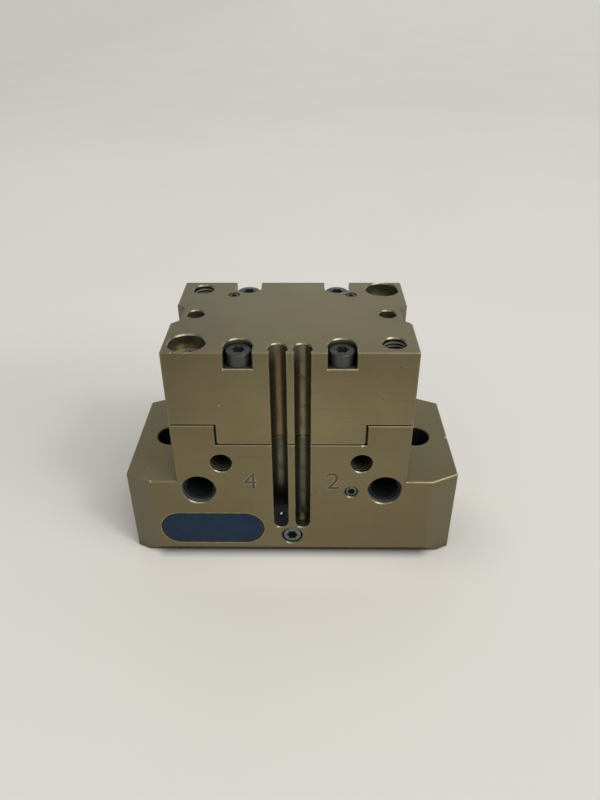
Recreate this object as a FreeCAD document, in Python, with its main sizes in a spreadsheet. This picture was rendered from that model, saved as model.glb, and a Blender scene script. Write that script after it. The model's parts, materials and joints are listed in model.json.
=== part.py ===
import FreeCAD, Part
import Sketcher
import math
import os
import re

doc = FreeCAD.newDocument("parallel_gripper")
sheet = doc.addObject("Spreadsheet::Sheet", "sizes")

# Driving dimensions in millimetres. X runs along the jaw travel, Y from the port face to the
# back, Z from the jaw face up to the mounting face.
dimensions = {
    # housing
    "base_length": 80.0,
    "body_depth": 37.6,
    "foot": 0.3,
    "foot_bevel": 2.4,
    "base_top": 24.0,
    "corner_x": 6.5,
    "corner_y": 3.1,
    "neck_width": 54.8,
    "ear_top": 40.1,
    "seam": 34.7,
    "step_half": 17.35,
    "edge": 0.25,
    "fine_edge": 0.18,
    "overrun": 1.0,
    # spring housing
    "block_top": 58.8,
    "seam_gap": 0.12,
    "tongue_half": 17.15,
    "tongue_corner": 0.7,
    "tongue_relief": 0.8,
    "notch_half": 4.95,
    "notch_depth": 1.9,
    # jaw guide and base jaws
    "jaw_height": 13.5,
    "jaw_out": 39.3,
    "jaw_lip": 6.0,
    "jaw_stroke": 6.0,
    "guide_play": 0.08,
    "tooth_root": 9.8,
    "tooth_depth": 1.2,
    "tooth_flat": 0.5,
    "tooth_low": 1.9,
    "roof": 13.8,
    "finger_x": 18.0,
    "finger_pitch": 14.0,
    "finger_sleeve": 3.0,
    "finger_sleeve_deep": 2.5,
    "finger_thread": 2.0,
    "finger_deep": 8.5,
    # wedge hook
    "hook_top": 19.0,
    "hook_half": 19.45,
    "hook_wide": 13.8,
    "hook_play": 0.15,
    "hook_clear": 0.1,
    "key_root": 0.5,
    "key_low": 2.0,
    "key_neck": 2.83,
    "key_head": 3.39,
    "key_neck_wide": 5.0,
    "key_head_wide": 9.0,
    "rod": 4.0,
    "rod_thread": 2.0,
    "rod_thread_deep": 11.0,
    "o_ring_in": 2.5,
    "o_ring_out": 3.3,
    "o_ring_high": 0.8,
    # drive chamber and cylinder
    "chamber_half": 20.0,
    "chamber_wide": 14.4,
    "chamber_top": 19.5,
    "bore_floor": 26.0,
    "bore_half": 14.0,
    "bore_round": 11.0,
    "bore_top": 52.0,
    "bush_top": 23.5,
    "bush_round": 5.0,
    "rod_seal_round": 6.0,
    "rod_play": 0.03,
    # piston
    "piston_low": 44.0,
    "piston_top": 51.0,
    "piston_play": 0.04,
    "piston_clear": 2.2,
    "piston_head": 3.75,
    "groove_low": 48.4,
    "groove_top": 50.2,
    "groove_deep": 1.8,
    "magnet_height": 46.2,
    "magnet_round": 1.5,
    "magnet_long": 3.0,
    "magnet_sink": 0.15,
    "head_seat": 46.6,
    # closing springs
    "spring_x": 8.6,
    "spring_y": 4.4,
    "spring_mean": 2.3,
    "spring_wire": 0.9,
    "spring_pocket": 3.0,
    "spring_sink": 0.8,
    "spring_turns": 6.0,
    # seals across the seam
    "gasket_in": 1.0,
    "gasket_out": 2.4,
    "gasket_high": 1.0,
    "passage": 1.0,
    "passage_seal": 2.0,
    # air channels
    "channel_x": 15.9,
    "channel_y": 10.3,
    "channel": 0.8,
    "channel_low": 27.4,
    "channel_high": 51.2,
    # mounting face
    "mount_x": 22.3,
    "mount_y": 14.4,
    "sleeve": 4.0,
    "sleeve_deep": 3.3,
    "thread_five": 2.5,
    "mount_deep": 14.0,
    "rim": 0.3,
    "pin_hole": 2.0,
    "pin_deep": 9.0,
    "clamp_x": 11.1,
    "clamp_y": 15.5,
    "recess": 3.12,
    "recess_deep": 4.0,
    "thread_three": 1.5,
    "clear_three": 1.7,
    "clamp_low": 29.8,
    "thread_end": 0.5,
    "plug_x": 14.4,
    "plug_y": 10.95,
    "plug_deep": 5.4,
    "plug_sink": 0.35,
    "top_sink": 0.1,
    "plug_edge": 0.25,
    # sensor slots
    "slot_x": 2.65,
    "slot_round": 2.08,
    "slot_axis": 2.12,
    "slot_mouth": 1.8,
    "slot_end": 9.45,
    "slot_rim": 0.14,
    "end_play": 0.04,
    "end_short": 0.1,
    "stop_top": 16.6,
    "stop_back": 0.15,
    "stop_play": 0.03,
    "stop_thread": 0.8,
    "stop_screw_z": 13.6,
    "stop_screw_long": 3.6,
    # port face
    "port_x": 16.4,
    "port_z": 29.45,
    "port_deep": 7.0,
    "port_rim": 0.2,
    "side_x": 22.25,
    "side_z": 21.35,
    "side_sleeve_deep": 1.5,
    "side_clear": 3.3,
    "side_deep": 11.0,
    "side_rim": 0.25,
    "lube_x": 14.3,
    "lube_z": 20.85,
    "purge_z": 6.55,
    "purge_deep": 4.6,
    "purge_rim": 0.3,
    "wing_bore_x": 31.3,
    "wing_bore": 4.0,
    "label_x": 19.75,
    "label_z": 9.1,
    "label_half": 12.9,
    "label_round": 4.9,
    "label_sink": 0.3,
    "label_thick": 0.25,
    # centre cover
    "cover_half": 5.25,
    "cover_deep": 15.4,
    "cover_thick": 1.2,
    "cover_thread": 1.0,
    "cover_thread_deep": 5.0,
    "cover_screw_y": 12.9,
    "cover_screw": 0.94,
    "cover_screw_long": 4.7,
    "countersink": 0.95,
    # screw heads, keys across their flats, and fits
    "cap_three": 2.75,
    "cap_three_high": 3.0,
    "cap_four": 3.5,
    "cap_four_high": 4.0,
    "piston_screw_long": 12.0,
    "head_edge": 0.2,
    "key_large": 3.0,
    "key_middle": 2.5,
    "key_small": 1.5,
    "key_fine": 1.25,
    "key_tiny": 0.9,
    "key_reach": 0.65,
    "thread_play": 0.02,
    "seat_play": 0.05,
}

for row, (name, value) in enumerate(dimensions.items(), start=1):
    sheet.set(f"A{row}", name)
    sheet.set(f"B{row}", str(value))
    sheet.setAlias(f"B{row}", name)
doc.recompute()


def bind(text):
    return re.sub(r"[a-z_]{3,}", lambda word: "sizes." + word.group(0), text)


def number(text):
    return float(sheet.evalExpression(bind(text)))


def vector(x_text, y_text):
    return FreeCAD.Vector(number(x_text), number(y_text), 0)


def new_body(name):
    body = doc.addObject("PartDesign::Body", name)
    body.Label = name
    return body


def new_sketch(body, plane, level="0"):
    """A sketch on one of the body's own origin planes, moved to the given level."""
    sketch = body.newObject("Sketcher::SketchObject", f"{body.Name}_sketch")
    support = next(item for item in body.Origin.OriginFeatures if item.Role == plane)
    sketch.AttachmentSupport = [(support, "")]
    sketch.MapMode = "FlatFace"
    offset = f"-({level})" if plane == "XZ_Plane" else level
    sketch.setExpression("AttachmentOffset.Base.z", bind(offset))
    sketch.Visibility = False
    return sketch


def place(sketch, geometry, point, x_text, y_text):
    for kind, text in (("DistanceX", x_text), ("DistanceY", y_text)):
        item = sketch.addConstraint(Sketcher.Constraint(kind, geometry, point, number(text)))
        sketch.setExpression(f"Constraints[{item}]", bind(text))


def draw_outline(sketch, corners):
    first = sketch.GeometryCount
    count = len(corners)
    points = [vector(*corner) for corner in corners]
    for index in range(count):
        line = Part.LineSegment(points[index], points[(index + 1) % count])
        sketch.addGeometry(line, False)
    for index in range(count):
        following = first + (index + 1) % count
        sketch.addConstraint(Sketcher.Constraint("Coincident", first + index, 2, following, 1))
    for index, corner in enumerate(corners):
        place(sketch, first + index, 1, *corner)


def draw_block(sketch, left, right, low, high):
    draw_outline(sketch, [(left, low), (right, low), (right, high), (left, high)])


def draw_circle(sketch, x_text, y_text, radius):
    circle = Part.Circle(vector(x_text, y_text), FreeCAD.Vector(0, 0, 1), number(radius))
    index = sketch.addGeometry(circle, False)
    item = sketch.addConstraint(Sketcher.Constraint("Radius", index, number(radius)))
    sketch.setExpression(f"Constraints[{item}]", bind(radius))
    place(sketch, index, 3, x_text, y_text)


def draw_oval(sketch, x_text, y_text, half, radius):
    """Two half circles joined by straight sides, long axis along the sketch's X."""
    up = FreeCAD.Vector(0, 0, 1)
    reach = f"({half} - ({radius}))"
    right_x = f"{x_text} + {reach}"
    left_x = f"{x_text} - {reach}"
    size = number(radius)
    centre_right = vector(right_x, y_text)
    centre_left = vector(left_x, y_text)
    rise = FreeCAD.Vector(0, size, 0)
    quarter = math.pi / 2
    right = sketch.addGeometry(
        Part.ArcOfCircle(Part.Circle(centre_right, up, size), -quarter, quarter), False)
    top = sketch.addGeometry(Part.LineSegment(centre_right + rise, centre_left + rise), False)
    left = sketch.addGeometry(
        Part.ArcOfCircle(Part.Circle(centre_left, up, size), quarter, 3 * quarter), False)
    base = sketch.addGeometry(Part.LineSegment(centre_left - rise, centre_right - rise), False)
    for before, after in ((right, top), (top, left), (left, base), (base, right)):
        sketch.addConstraint(Sketcher.Constraint("Tangent", before, 2, after, 1))
    item = sketch.addConstraint(Sketcher.Constraint("Radius", right, size))
    sketch.setExpression(f"Constraints[{item}]", bind(radius))
    sketch.addConstraint(Sketcher.Constraint("Equal", right, left))
    place(sketch, right, 3, right_x, y_text)
    place(sketch, left, 3, left_x, y_text)


def grow(body, sketch, length, middle=False, reverse=False):
    feature = body.newObject("PartDesign::Pad", f"{body.Name}_pad")
    feature.Profile = sketch
    feature.setExpression("Length", bind(length))
    feature.SideType = "Symmetric" if middle else "One side"
    feature.Reversed = reverse
    return feature


def cut(body, sketch, length=None, middle=False, reverse=False):
    feature = body.newObject("PartDesign::Pocket", f"{body.Name}_pocket")
    feature.Profile = sketch
    if length is None:
        feature.Type = "ThroughAll"
    else:
        feature.setExpression("Length", bind(length))
    feature.SideType = "Symmetric" if middle else "One side"
    feature.Reversed = reverse
    return feature


def drill(body, plane, level, centres, radius, depth, rim=None, reverse=False):
    """Flat-bottomed holes on the given centres, with a 45 degree rim where one is named."""
    sketch = new_sketch(body, plane, level)
    for x_text, y_text in centres:
        draw_circle(sketch, x_text, y_text, radius)
    cut(body, sketch, depth, reverse=reverse)
    if rim is not None:
        mouth = new_sketch(body, plane, level)
        for x_text, y_text in centres:
            draw_circle(mouth, x_text, y_text, f"{radius} + {rim}")
        bevel = cut(body, mouth, rim, reverse=reverse)
        bevel.TaperAngle = -45.0


def break_edges(body, wanted, size):
    """Chamfers every edge of the body so far that the test accepts."""
    doc.recompute()
    base = body.Tip
    names = [f"Edge{index}" for index, edge in enumerate(base.Shape.Edges, start=1) if wanted(edge)]
    feature = body.newObject("PartDesign::Chamfer", f"{body.Name}_edges")
    feature.Base = (base, names)
    feature.setExpression("Size", bind(size))


def at_level(edge, level):
    box = edge.BoundBox
    return abs(box.ZMin - number(level)) < 1e-6 and abs(box.ZMax - number(level)) < 1e-6


def on_long_face(edge):
    """True for an edge that lies in the port face or in the rear face."""
    box = edge.BoundBox
    return box.YLength < 1e-6 and abs(abs(box.YMin) - number(half_depth)) < 1e-6


def upright_at(edge, x_text):
    box = edge.BoundBox
    return box.XLength < 1e-6 and box.YLength < 1e-6 and abs(abs(box.XMin) - number(x_text)) < 1e-6


def turn(body, profile):
    """A full turn of a closed outline in X and Z round the upright axis."""
    sketch = new_sketch(body, "XZ_Plane")
    draw_outline(sketch, profile)
    feature = body.newObject("PartDesign::Revolution", f"{body.Name}_turn")
    feature.Profile = sketch
    feature.ReferenceAxis = (sketch, ["V_Axis"])
    feature.Angle = 360


def mirrored(pairs):
    return pairs + [(f"-({x_text})", y_text) for x_text, y_text in reversed(pairs)]


def both(x_text, y_text):
    return [(x_text, y_text), (f"-({x_text})", y_text)]


def four(x_text, y_text):
    return both(x_text, y_text) + both(x_text, f"-({y_text})")


front = "-body_depth / 2"
half_depth = "body_depth / 2"
centre = [("0", "0")]


def neck_outline():
    """Plan of the neck and the block above it, with a clearance notch in each end."""
    side = "neck_width / 2"
    flank = "notch_half - notch_depth"
    right = [
        (f"{side} - edge", front),
        (side, f"{front} + edge"),
        (side, "-notch_half"),
        (f"{side} - notch_depth", f"-({flank})"),
        (f"{side} - notch_depth", flank),
        (side, "notch_half"),
        (side, f"{half_depth} - edge"),
        (f"{side} - edge", half_depth),
    ]
    return mirrored(right)


def guide_profile(play, low, high):
    """Half section of the toothed guide in Y and Z, mirrored to a closed outline."""
    root = f"tooth_root + {play}"
    tip = f"tooth_root + tooth_depth + {play}"
    pitch = "(2 * tooth_depth + 2 * tooth_flat)"
    side = [(root, low)]
    for tooth in range(3):
        start = f"tooth_low + {tooth} * {pitch}"
        side.append((root, start))
        side.append((tip, f"{start} + tooth_depth"))
        side.append((tip, f"{start} + tooth_depth + tooth_flat"))
        side.append((root, f"{start} + 2 * tooth_depth + tooth_flat"))
    side.append((root, high))
    return mirrored(side)


def cut_sensor_slots(body, top, end):
    """Two round-bottomed sensor slots in the port face, open at the top, with flared mouths."""
    axis_y = f"{front} + slot_axis"
    lip_y = f"{front} + slot_rim"
    flare = "(slot_rim + slot_rim)"
    mouths = new_sketch(body, "XY_Plane", top)
    for sign in ("", "-"):
        left = f"{sign}slot_x - slot_mouth"
        right = f"{sign}slot_x + slot_mouth"
        draw_outline(mouths, [
            (f"{left} - {flare}", f"{front} - slot_rim"),
            (f"{right} + {flare}", f"{front} - slot_rim"),
            (right, lip_y),
            (right, axis_y),
            (left, axis_y),
            (left, lip_y),
        ])
    cut(body, mouths, f"{top} - ({end})")
    drill(body, "XY_Plane", top, both("slot_x", axis_y), "slot_round", f"{top} - ({end})")


# Housing: winged base with the jaw guide, neck with the cylinder and two ears for the block.
housing = new_body("housing")
plan = new_sketch(housing, "XY_Plane", "foot")
draw_outline(plan, mirrored([
    ("base_length / 2 - corner_x", front),
    ("base_length / 2", f"{front} + corner_y"),
    ("base_length / 2", f"{half_depth} - corner_y"),
    ("base_length / 2 - corner_x", half_depth),
]))
grow(housing, plan, "base_top - foot")
break_edges(housing, lambda edge: at_level(edge, "base_top"), "edge")

neck = new_sketch(housing, "XY_Plane", "base_top - overrun")
draw_outline(neck, neck_outline())
grow(housing, neck, "ear_top - base_top + overrun")

step = new_sketch(housing, "XZ_Plane")
draw_block(step, "-step_half", "step_half", "seam", "ear_top + overrun")
cut(housing, step, middle=True)
break_edges(
    housing,
    lambda edge: on_long_face(edge) and (
        at_level(edge, "ear_top") or at_level(edge, "seam") or upright_at(edge, "step_half")),
    "fine_edge")

bevels = new_sketch(housing, "YZ_Plane")
for sign in ("", "-"):
    draw_outline(bevels, [
        (f"{sign}({half_depth} - foot_bevel - overrun)", "foot - overrun"),
        (f"{sign}({half_depth} + overrun)", "foot + foot_bevel + overrun"),
        (f"{sign}({half_depth} + overrun)", "foot - overrun"),
    ])
cut(housing, bevels, middle=True)

guide = new_sketch(housing, "YZ_Plane")
draw_outline(guide, guide_profile("guide_play", "foot - overrun", "roof"))
cut(housing, guide, middle=True)

chamber = new_sketch(housing, "XY_Plane", "chamber_top")
draw_block(chamber, "-chamber_half", "chamber_half", "-chamber_wide / 2", "chamber_wide / 2")
cut(housing, chamber, "chamber_top - roof + overrun")

cylinder = new_sketch(housing, "XY_Plane", "seam")
draw_oval(cylinder, "0", "0", "bore_half", "bore_round")
cut(housing, cylinder, "seam - bore_floor")
drill(housing, "XY_Plane", "bore_floor", centre, "bush_round", "bore_floor - chamber_top")
drill(housing, "XY_Plane", "bore_floor", centre, "rod_seal_round", "bore_floor - bush_top")
drill(housing, "XY_Plane", "bore_floor", four("spring_x", "spring_y"), "spring_pocket", "spring_sink")

gasket_groove = new_sketch(housing, "XY_Plane", "seam")
draw_oval(gasket_groove, "0", "0", "bore_half + gasket_out", "bore_round + gasket_out")
draw_oval(gasket_groove, "0", "0", "bore_half + gasket_in", "bore_round + gasket_in")
cut(housing, gasket_groove, "gasket_high")

drill(housing, "XY_Plane", "seam", both("plug_x", "plug_y"), "passage_seal", "gasket_high")
drill(housing, "XY_Plane", "seam", both("plug_x", "plug_y"), "passage", "seam - port_z")
drill(housing, "XY_Plane", "seam", four("clamp_x", "clamp_y"), "thread_three",
      "seam - clamp_low + thread_end")
drill(housing, "XY_Plane", "base_top", both("wing_bore_x", "0"), "wing_bore",
      "base_top - roof + overrun", rim="edge")

slot_turn = "slot_end + slot_mouth"
slot_floor = "slot_axis + slot_round - end_short"
cut_sensor_slots(housing, "seam", slot_turn)
drill(housing, "XZ_Plane", front, both("slot_x", slot_turn), "slot_mouth - end_play", slot_floor,
      rim="slot_rim")

drill(housing, "XZ_Plane", front, both("port_x", "port_z"), "thread_five", "port_deep", rim="port_rim")
drill(housing, "XZ_Plane", front, both("side_x", "side_z"), "side_clear", "side_deep")
drill(housing, "XZ_Plane", front, both("side_x", "side_z"), "sleeve", "side_sleeve_deep", rim="side_rim")
drill(housing, "XZ_Plane", front, [("lube_x", "lube_z")], "thread_three", "purge_deep", rim="purge_rim")
drill(housing, "XZ_Plane", front, [("0", "purge_z")], "thread_five", "purge_deep", rim="purge_rim")
drill(housing, "XZ_Plane", front, [("0", "purge_z")], "passage", f"{half_depth} - tooth_root")

# Each air port runs to the passage behind it; the right passage feeds the rod side.
drill(housing, "XZ_Plane", front, both("channel_x", "port_z"), "channel", f"{half_depth} + plug_y")
drill(housing, "XY_Plane", "port_z", [("plug_x", "plug_y")], "passage", "port_z - channel_low")
drill(housing, "YZ_Plane", "plug_x", [("channel_y", "channel_low")], "channel", "plug_x - bore_half / 2")

label_seat = new_sketch(housing, "XZ_Plane", front)
draw_oval(label_seat, "-label_x", "label_z", "label_half", "label_round")
cut(housing, label_seat, "label_sink")

cover_places = [("0", "cover_screw_y"), ("0", "-cover_screw_y")]
cover_seat = new_sketch(housing, "XY_Plane", "foot")
draw_block(cover_seat, "-cover_half - seat_play", "cover_half + seat_play",
           "-cover_deep - seat_play", "cover_deep + seat_play")
cut(housing, cover_seat, "cover_thick", reverse=True)
drill(housing, "XY_Plane", "foot", cover_places, "cover_thread", "cover_thread_deep", reverse=True)

# Spring housing: the block on the back of the housing, closed at the mounting face.
spring_housing = new_body("spring_housing")
block_low = "ear_top + seam_gap"
block = new_sketch(spring_housing, "XY_Plane", block_low)
draw_outline(block, neck_outline())
grow(spring_housing, block, f"block_top - ({block_low})")
break_edges(spring_housing, lambda edge: at_level(edge, "block_top"), "edge")
tongue_low = "seam + seam_gap"
turned_in = f"{1 - math.sqrt(0.5):.4f} * tongue_corner"
tongue = new_sketch(spring_housing, "XZ_Plane")
draw_outline(tongue, mirrored([
    ("tongue_half - tongue_corner", tongue_low),
    (f"tongue_half - {turned_in}", f"{tongue_low} + {turned_in}"),
    ("tongue_half", f"{tongue_low} + tongue_corner"),
    ("tongue_half", f"{block_low} + overrun"),
]))
grow(spring_housing, tongue, "body_depth", middle=True)
break_edges(
    spring_housing,
    lambda edge: on_long_face(edge) and edge.BoundBox.ZMax < number(block_low) + 1e-6,
    "fine_edge")
land = new_sketch(spring_housing, "XY_Plane", "seam")
draw_block(land, "-tongue_half + tongue_relief", "tongue_half - tongue_relief",
           f"{front} + tongue_relief", f"{half_depth} - tongue_relief")
grow(spring_housing, land, "seam_gap + overrun")

upper_bore = new_sketch(spring_housing, "XY_Plane", "seam")
draw_oval(upper_bore, "0", "0", "bore_half", "bore_round")
cut(spring_housing, upper_bore, "bore_top - seam", reverse=True)

threads = [("mount_x", "-mount_y"), ("-mount_x", "mount_y")]
sleeves = [("-mount_x", "-mount_y"), ("mount_x", "mount_y")]
drill(spring_housing, "XY_Plane", "block_top", threads, "thread_five", "mount_deep", rim="rim")
drill(spring_housing, "XY_Plane", "block_top", sleeves, "thread_five", "mount_deep")
drill(spring_housing, "XY_Plane", "block_top", sleeves, "sleeve", "sleeve_deep", rim="rim")
drill(spring_housing, "XY_Plane", "block_top", both("mount_x", "0"), "pin_hole", "pin_deep", rim="edge")
drill(spring_housing, "XY_Plane", "block_top", both("plug_x", "plug_y"), "thread_three", "plug_deep")
drill(spring_housing, "XY_Plane", "block_top", both("plug_x", "plug_y"), "passage", "block_top - seam")
drill(spring_housing, "YZ_Plane", "-plug_x", [("channel_y", "channel_high")], "channel",
      "plug_x - bore_half / 2", reverse=True)

drill(spring_housing, "XY_Plane", "block_top", four("clamp_x", "clamp_y"), "clear_three",
      "block_top - seam")
drill(spring_housing, "XY_Plane", "block_top", four("clamp_x", "clamp_y"), "recess", "recess_deep",
      rim="edge")
recess_floor = "block_top - recess_deep"
recess_mouths = new_sketch(spring_housing, "XY_Plane", "block_top")
for x_sign in ("", "-"):
    for y_sign in ("", "-"):
        left = f"{x_sign}clamp_x - recess"
        right = f"{x_sign}clamp_x + recess"
        draw_outline(recess_mouths, [
            (left, f"{y_sign}clamp_y"),
            (right, f"{y_sign}clamp_y"),
            (right, f"{y_sign}({half_depth} - fine_edge)"),
            (f"{right} + 2 * fine_edge", f"{y_sign}({half_depth} + fine_edge)"),
            (f"{left} - 2 * fine_edge", f"{y_sign}({half_depth} + fine_edge)"),
            (left, f"{y_sign}({half_depth} - fine_edge)"),
        ])
cut(spring_housing, recess_mouths, "recess_deep")
for x_text in ("clamp_x", "-clamp_x"):
    sills = new_sketch(spring_housing, "YZ_Plane", x_text)
    for y_sign in ("", "-"):
        draw_outline(sills, [
            (f"{y_sign}({half_depth} - fine_edge)", recess_floor),
            (f"{y_sign}({half_depth} + fine_edge)", recess_floor),
            (f"{y_sign}({half_depth} + fine_edge)", f"{recess_floor} - 2 * fine_edge"),
        ])
    cut(spring_housing, sills, "2 * recess", middle=True)
cut_sensor_slots(spring_housing, "block_top", "seam")
slot_tops = new_sketch(spring_housing, "XY_Plane", "block_top")
for slot_centre in both("slot_x", f"{front} + slot_axis"):
    draw_circle(slot_tops, *slot_centre, "slot_round + edge")
slot_bevel = cut(spring_housing, slot_tops, "edge")
slot_bevel.TaperAngle = -45.0


# Base jaws: toothed slides whose inclined inner ends carry T keys for the wedge hook.
def make_jaw(name, sign):
    jaw = new_body(name)
    slide = new_sketch(jaw, "YZ_Plane", f"{sign}jaw_lip")
    draw_outline(slide, guide_profile("0", "0", "jaw_height"))
    grow(jaw, slide, "jaw_out - jaw_lip", reverse=(sign == "-"))
    break_edges(jaw, lambda edge: at_level(edge, "0") and edge.BoundBox.XLength > 1.0, "edge")
    incline = new_sketch(jaw, "XZ_Plane")
    draw_outline(incline, [
        (f"{sign}(jaw_lip - overrun)", "-overrun"),
        (f"{sign}(jaw_lip + jaw_height + overrun)", "jaw_height + overrun"),
        (f"{sign}(jaw_lip - overrun)", "jaw_height + overrun"),
    ])
    cut(jaw, incline, middle=True)
    strips = (("jaw_lip + key_root", "jaw_lip - key_neck", "key_neck_wide"),
              ("jaw_lip - key_neck", "jaw_lip - key_neck - key_head", "key_head_wide"))
    for outer, inner, wide in strips:
        key = new_sketch(jaw, "XZ_Plane")
        draw_outline(key, [
            (f"{sign}({inner} + key_low)", "key_low"),
            (f"{sign}({outer} + key_low)", "key_low"),
            (f"{sign}({outer} + jaw_height)", "jaw_height"),
            (f"{sign}({inner} + jaw_height)", "jaw_height"),
        ])
        grow(jaw, key, wide, middle=True)
    holes = [(f"{sign}finger_x", "0"), (f"{sign}(finger_x + finger_pitch)", "0")]
    drill(jaw, "XY_Plane", "0", holes, "finger_thread", "finger_deep", reverse=True)
    drill(jaw, "XY_Plane", "0", holes, "finger_sleeve", "finger_sleeve_deep", rim="edge", reverse=True)
    return jaw


base_jaw_right = make_jaw("base_jaw_right", "")
base_jaw_left = make_jaw("base_jaw_left", "-")

# Wedge hook with its rod: a block with an inclined T slot for each jaw. At rest it stands one
# stroke above the centre cover.
wedge_hook = new_body("wedge_hook")
hook_face = "jaw_lip - hook_play"
hook_low = "(foot + cover_thick + jaw_stroke + hook_clear)"
hook = new_sketch(wedge_hook, "XZ_Plane")
draw_outline(hook, mirrored([
    (f"{hook_face} + {hook_low}", hook_low),
    ("hook_half", f"hook_half - ({hook_face})"),
    ("hook_half", "hook_top"),
]))
grow(wedge_hook, hook, "hook_wide", middle=True)
slot_low = f"{hook_low} - overrun"
slot_high = "hook_top + overrun"
slots = (("jaw_lip + overrun", "jaw_lip - key_neck", "key_neck_wide + 2 * hook_clear"),
         ("jaw_lip - key_neck + hook_play", "jaw_lip - key_neck - key_head - hook_play",
          "key_head_wide + 2 * hook_clear"))
for outer, inner, wide in slots:
    for sign in ("", "-"):
        strip = new_sketch(wedge_hook, "XZ_Plane")
        draw_outline(strip, [
            (f"{sign}({inner} + {slot_low})", slot_low),
            (f"{sign}({outer} + {slot_low})", slot_low),
            (f"{sign}({outer} + {slot_high})", slot_high),
            (f"{sign}({inner} + {slot_high})", slot_high),
        ])
        cut(wedge_hook, strip, wide, middle=True)
rod = new_sketch(wedge_hook, "XY_Plane", "hook_top - overrun")
draw_circle(rod, "0", "0", "rod")
grow(wedge_hook, rod, "piston_low - hook_top + overrun")
drill(wedge_hook, "XY_Plane", "piston_low", centre, "rod_thread", "rod_thread_deep")
rod_groove = new_sketch(wedge_hook, "XY_Plane", "piston_low")
draw_circle(rod_groove, "0", "0", "o_ring_out")
draw_circle(rod_groove, "0", "0", "o_ring_in")
cut(wedge_hook, rod_groove, "o_ring_high")

# Piston: oval, with its seal near the top and the springs bearing on its underside.
piston = new_body("piston")
crown = new_sketch(piston, "XY_Plane", "piston_low")
draw_oval(crown, "0", "0", "bore_half - piston_play", "bore_round - piston_play")
grow(piston, crown, "piston_top - piston_low")
seal_groove = new_sketch(piston, "XY_Plane", "groove_low")
draw_oval(seal_groove, "0", "0", "bore_half + overrun", "bore_round + overrun")
draw_oval(seal_groove, "0", "0", "bore_half - groove_deep", "bore_round - groove_deep")
cut(piston, seal_groove, "groove_top - groove_low", reverse=True)
drill(piston, "XY_Plane", "piston_top", centre, "piston_clear", "piston_top - piston_low")
drill(piston, "XY_Plane", "piston_top", centre, "piston_head", "piston_top - head_seat")
drill(piston, "XY_Plane", "piston_low", four("spring_x", "spring_y"), "spring_pocket", "spring_sink",
      reverse=True)
drill(piston, "XZ_Plane", "-bore_round", both("slot_x", "magnet_height"), "magnet_round + thread_play",
      "magnet_sink + magnet_long")


# Rings: each is one outline taken from another.
def oval_ring(name, level, high, outer, inner):
    body = new_body(name)
    sketch = new_sketch(body, "XY_Plane", level)
    draw_oval(sketch, "0", "0", *outer)
    draw_oval(sketch, "0", "0", *inner)
    grow(body, sketch, high)
    return body


def round_ring(name, level, high, outer, inner, centres):
    body = new_body(name)
    sketch = new_sketch(body, "XY_Plane", level)
    for ring_centre in centres:
        draw_circle(sketch, *ring_centre, outer)
        draw_circle(sketch, *ring_centre, inner)
    grow(body, sketch, high)
    return body


seam_gasket = oval_ring("seam_gasket", "seam - gasket_high", "gasket_high",
                        ("bore_half + gasket_out", "bore_round + gasket_out"),
                        ("bore_half + gasket_in", "bore_round + gasket_in"))
piston_seal = oval_ring("piston_seal", "groove_low + seat_play", "groove_top - groove_low - 2 * seat_play",
                        ("bore_half - seat_play", "bore_round - seat_play"),
                        ("bore_half - groove_deep", "bore_round - groove_deep"))
rod_bush = round_ring("rod_bush", "chamber_top", "bush_top - chamber_top",
                      "bush_round", "rod + rod_play", centre)
rod_seal = round_ring("rod_seal", "bush_top", "bore_floor - bush_top",
                      "rod_seal_round", "rod + rod_play", centre)
rod_o_ring = round_ring("rod_o_ring", "piston_low - o_ring_high", "o_ring_high",
                        "o_ring_out", "o_ring_in", centre)
port_seals = round_ring("port_seals", "seam - gasket_high", "gasket_high", "passage_seal", "passage",
                        both("plug_x", "plug_y"))


# Fasteners and plugs, one turned profile each; a node holds every screw of its kind.
def cap_screw(shank, length, head, high):
    return [("0", f"-({length})"), (shank, f"-({length})"), (shank, "0"), (head, "0"),
            (head, f"{high} - head_edge"), (f"{head} - head_edge", high), ("0", high)]


def set_screw(radius, length):
    outside = f"{radius} - thread_play"
    return [("0", f"-({length})"), (f"{outside} - plug_edge", f"-({length})"),
            (outside, f"-({length}) + plug_edge"), (outside, "-plug_edge"),
            (f"{outside} - plug_edge", "0"), ("0", "0")]


def countersunk_screw(shank, length):
    return [("0", f"-({length})"), (shank, f"-({length})"), (shank, "-countersink"),
            (f"{shank} + countersink - seat_play", "0"), ("0", "0")]


def copies_of(source, name, places):
    """One group with a copy of the source at each place, which is a position and a turn."""
    copies = []
    for index, (position, rotation) in enumerate(places):
        copy = doc.addObject("Part::Compound", f"{name}_copy_{index}")
        copy.Links = [source]
        for axis_name, text in zip("xyz", position):
            copy.setExpression(f"Placement.Base.{axis_name}", bind(text))
        copy.Placement.Rotation = rotation
        copies.append(copy)
    group = doc.addObject("Part::Compound", name)
    group.Links = copies
    group.Label = name
    return group


def turned_set(name, profile, key, top, places):
    """Copies of one turned screw with a six-sided socket, upright at its own origin."""
    source = new_body(f"{name}_single")
    turn(source, profile)
    socket = new_sketch(source, "XY_Plane", top)
    corners = []
    for corner in range(6):
        angle = math.radians(60 * corner)
        across = math.cos(angle) / math.sqrt(3)
        along = math.sin(angle) / math.sqrt(3)
        corners.append((f"{key} * {across:.5f}", f"{key} * {along:.5f}"))
    draw_outline(socket, corners)
    cut(source, socket, f"key_reach * {key}")
    return copies_of(source, name, places)


x_axis = FreeCAD.Vector(1, 0, 0)
upright = FreeCAD.Rotation(x_axis, 0)
to_front = FreeCAD.Rotation(x_axis, 90)
to_floor = FreeCAD.Rotation(x_axis, 180)

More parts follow.
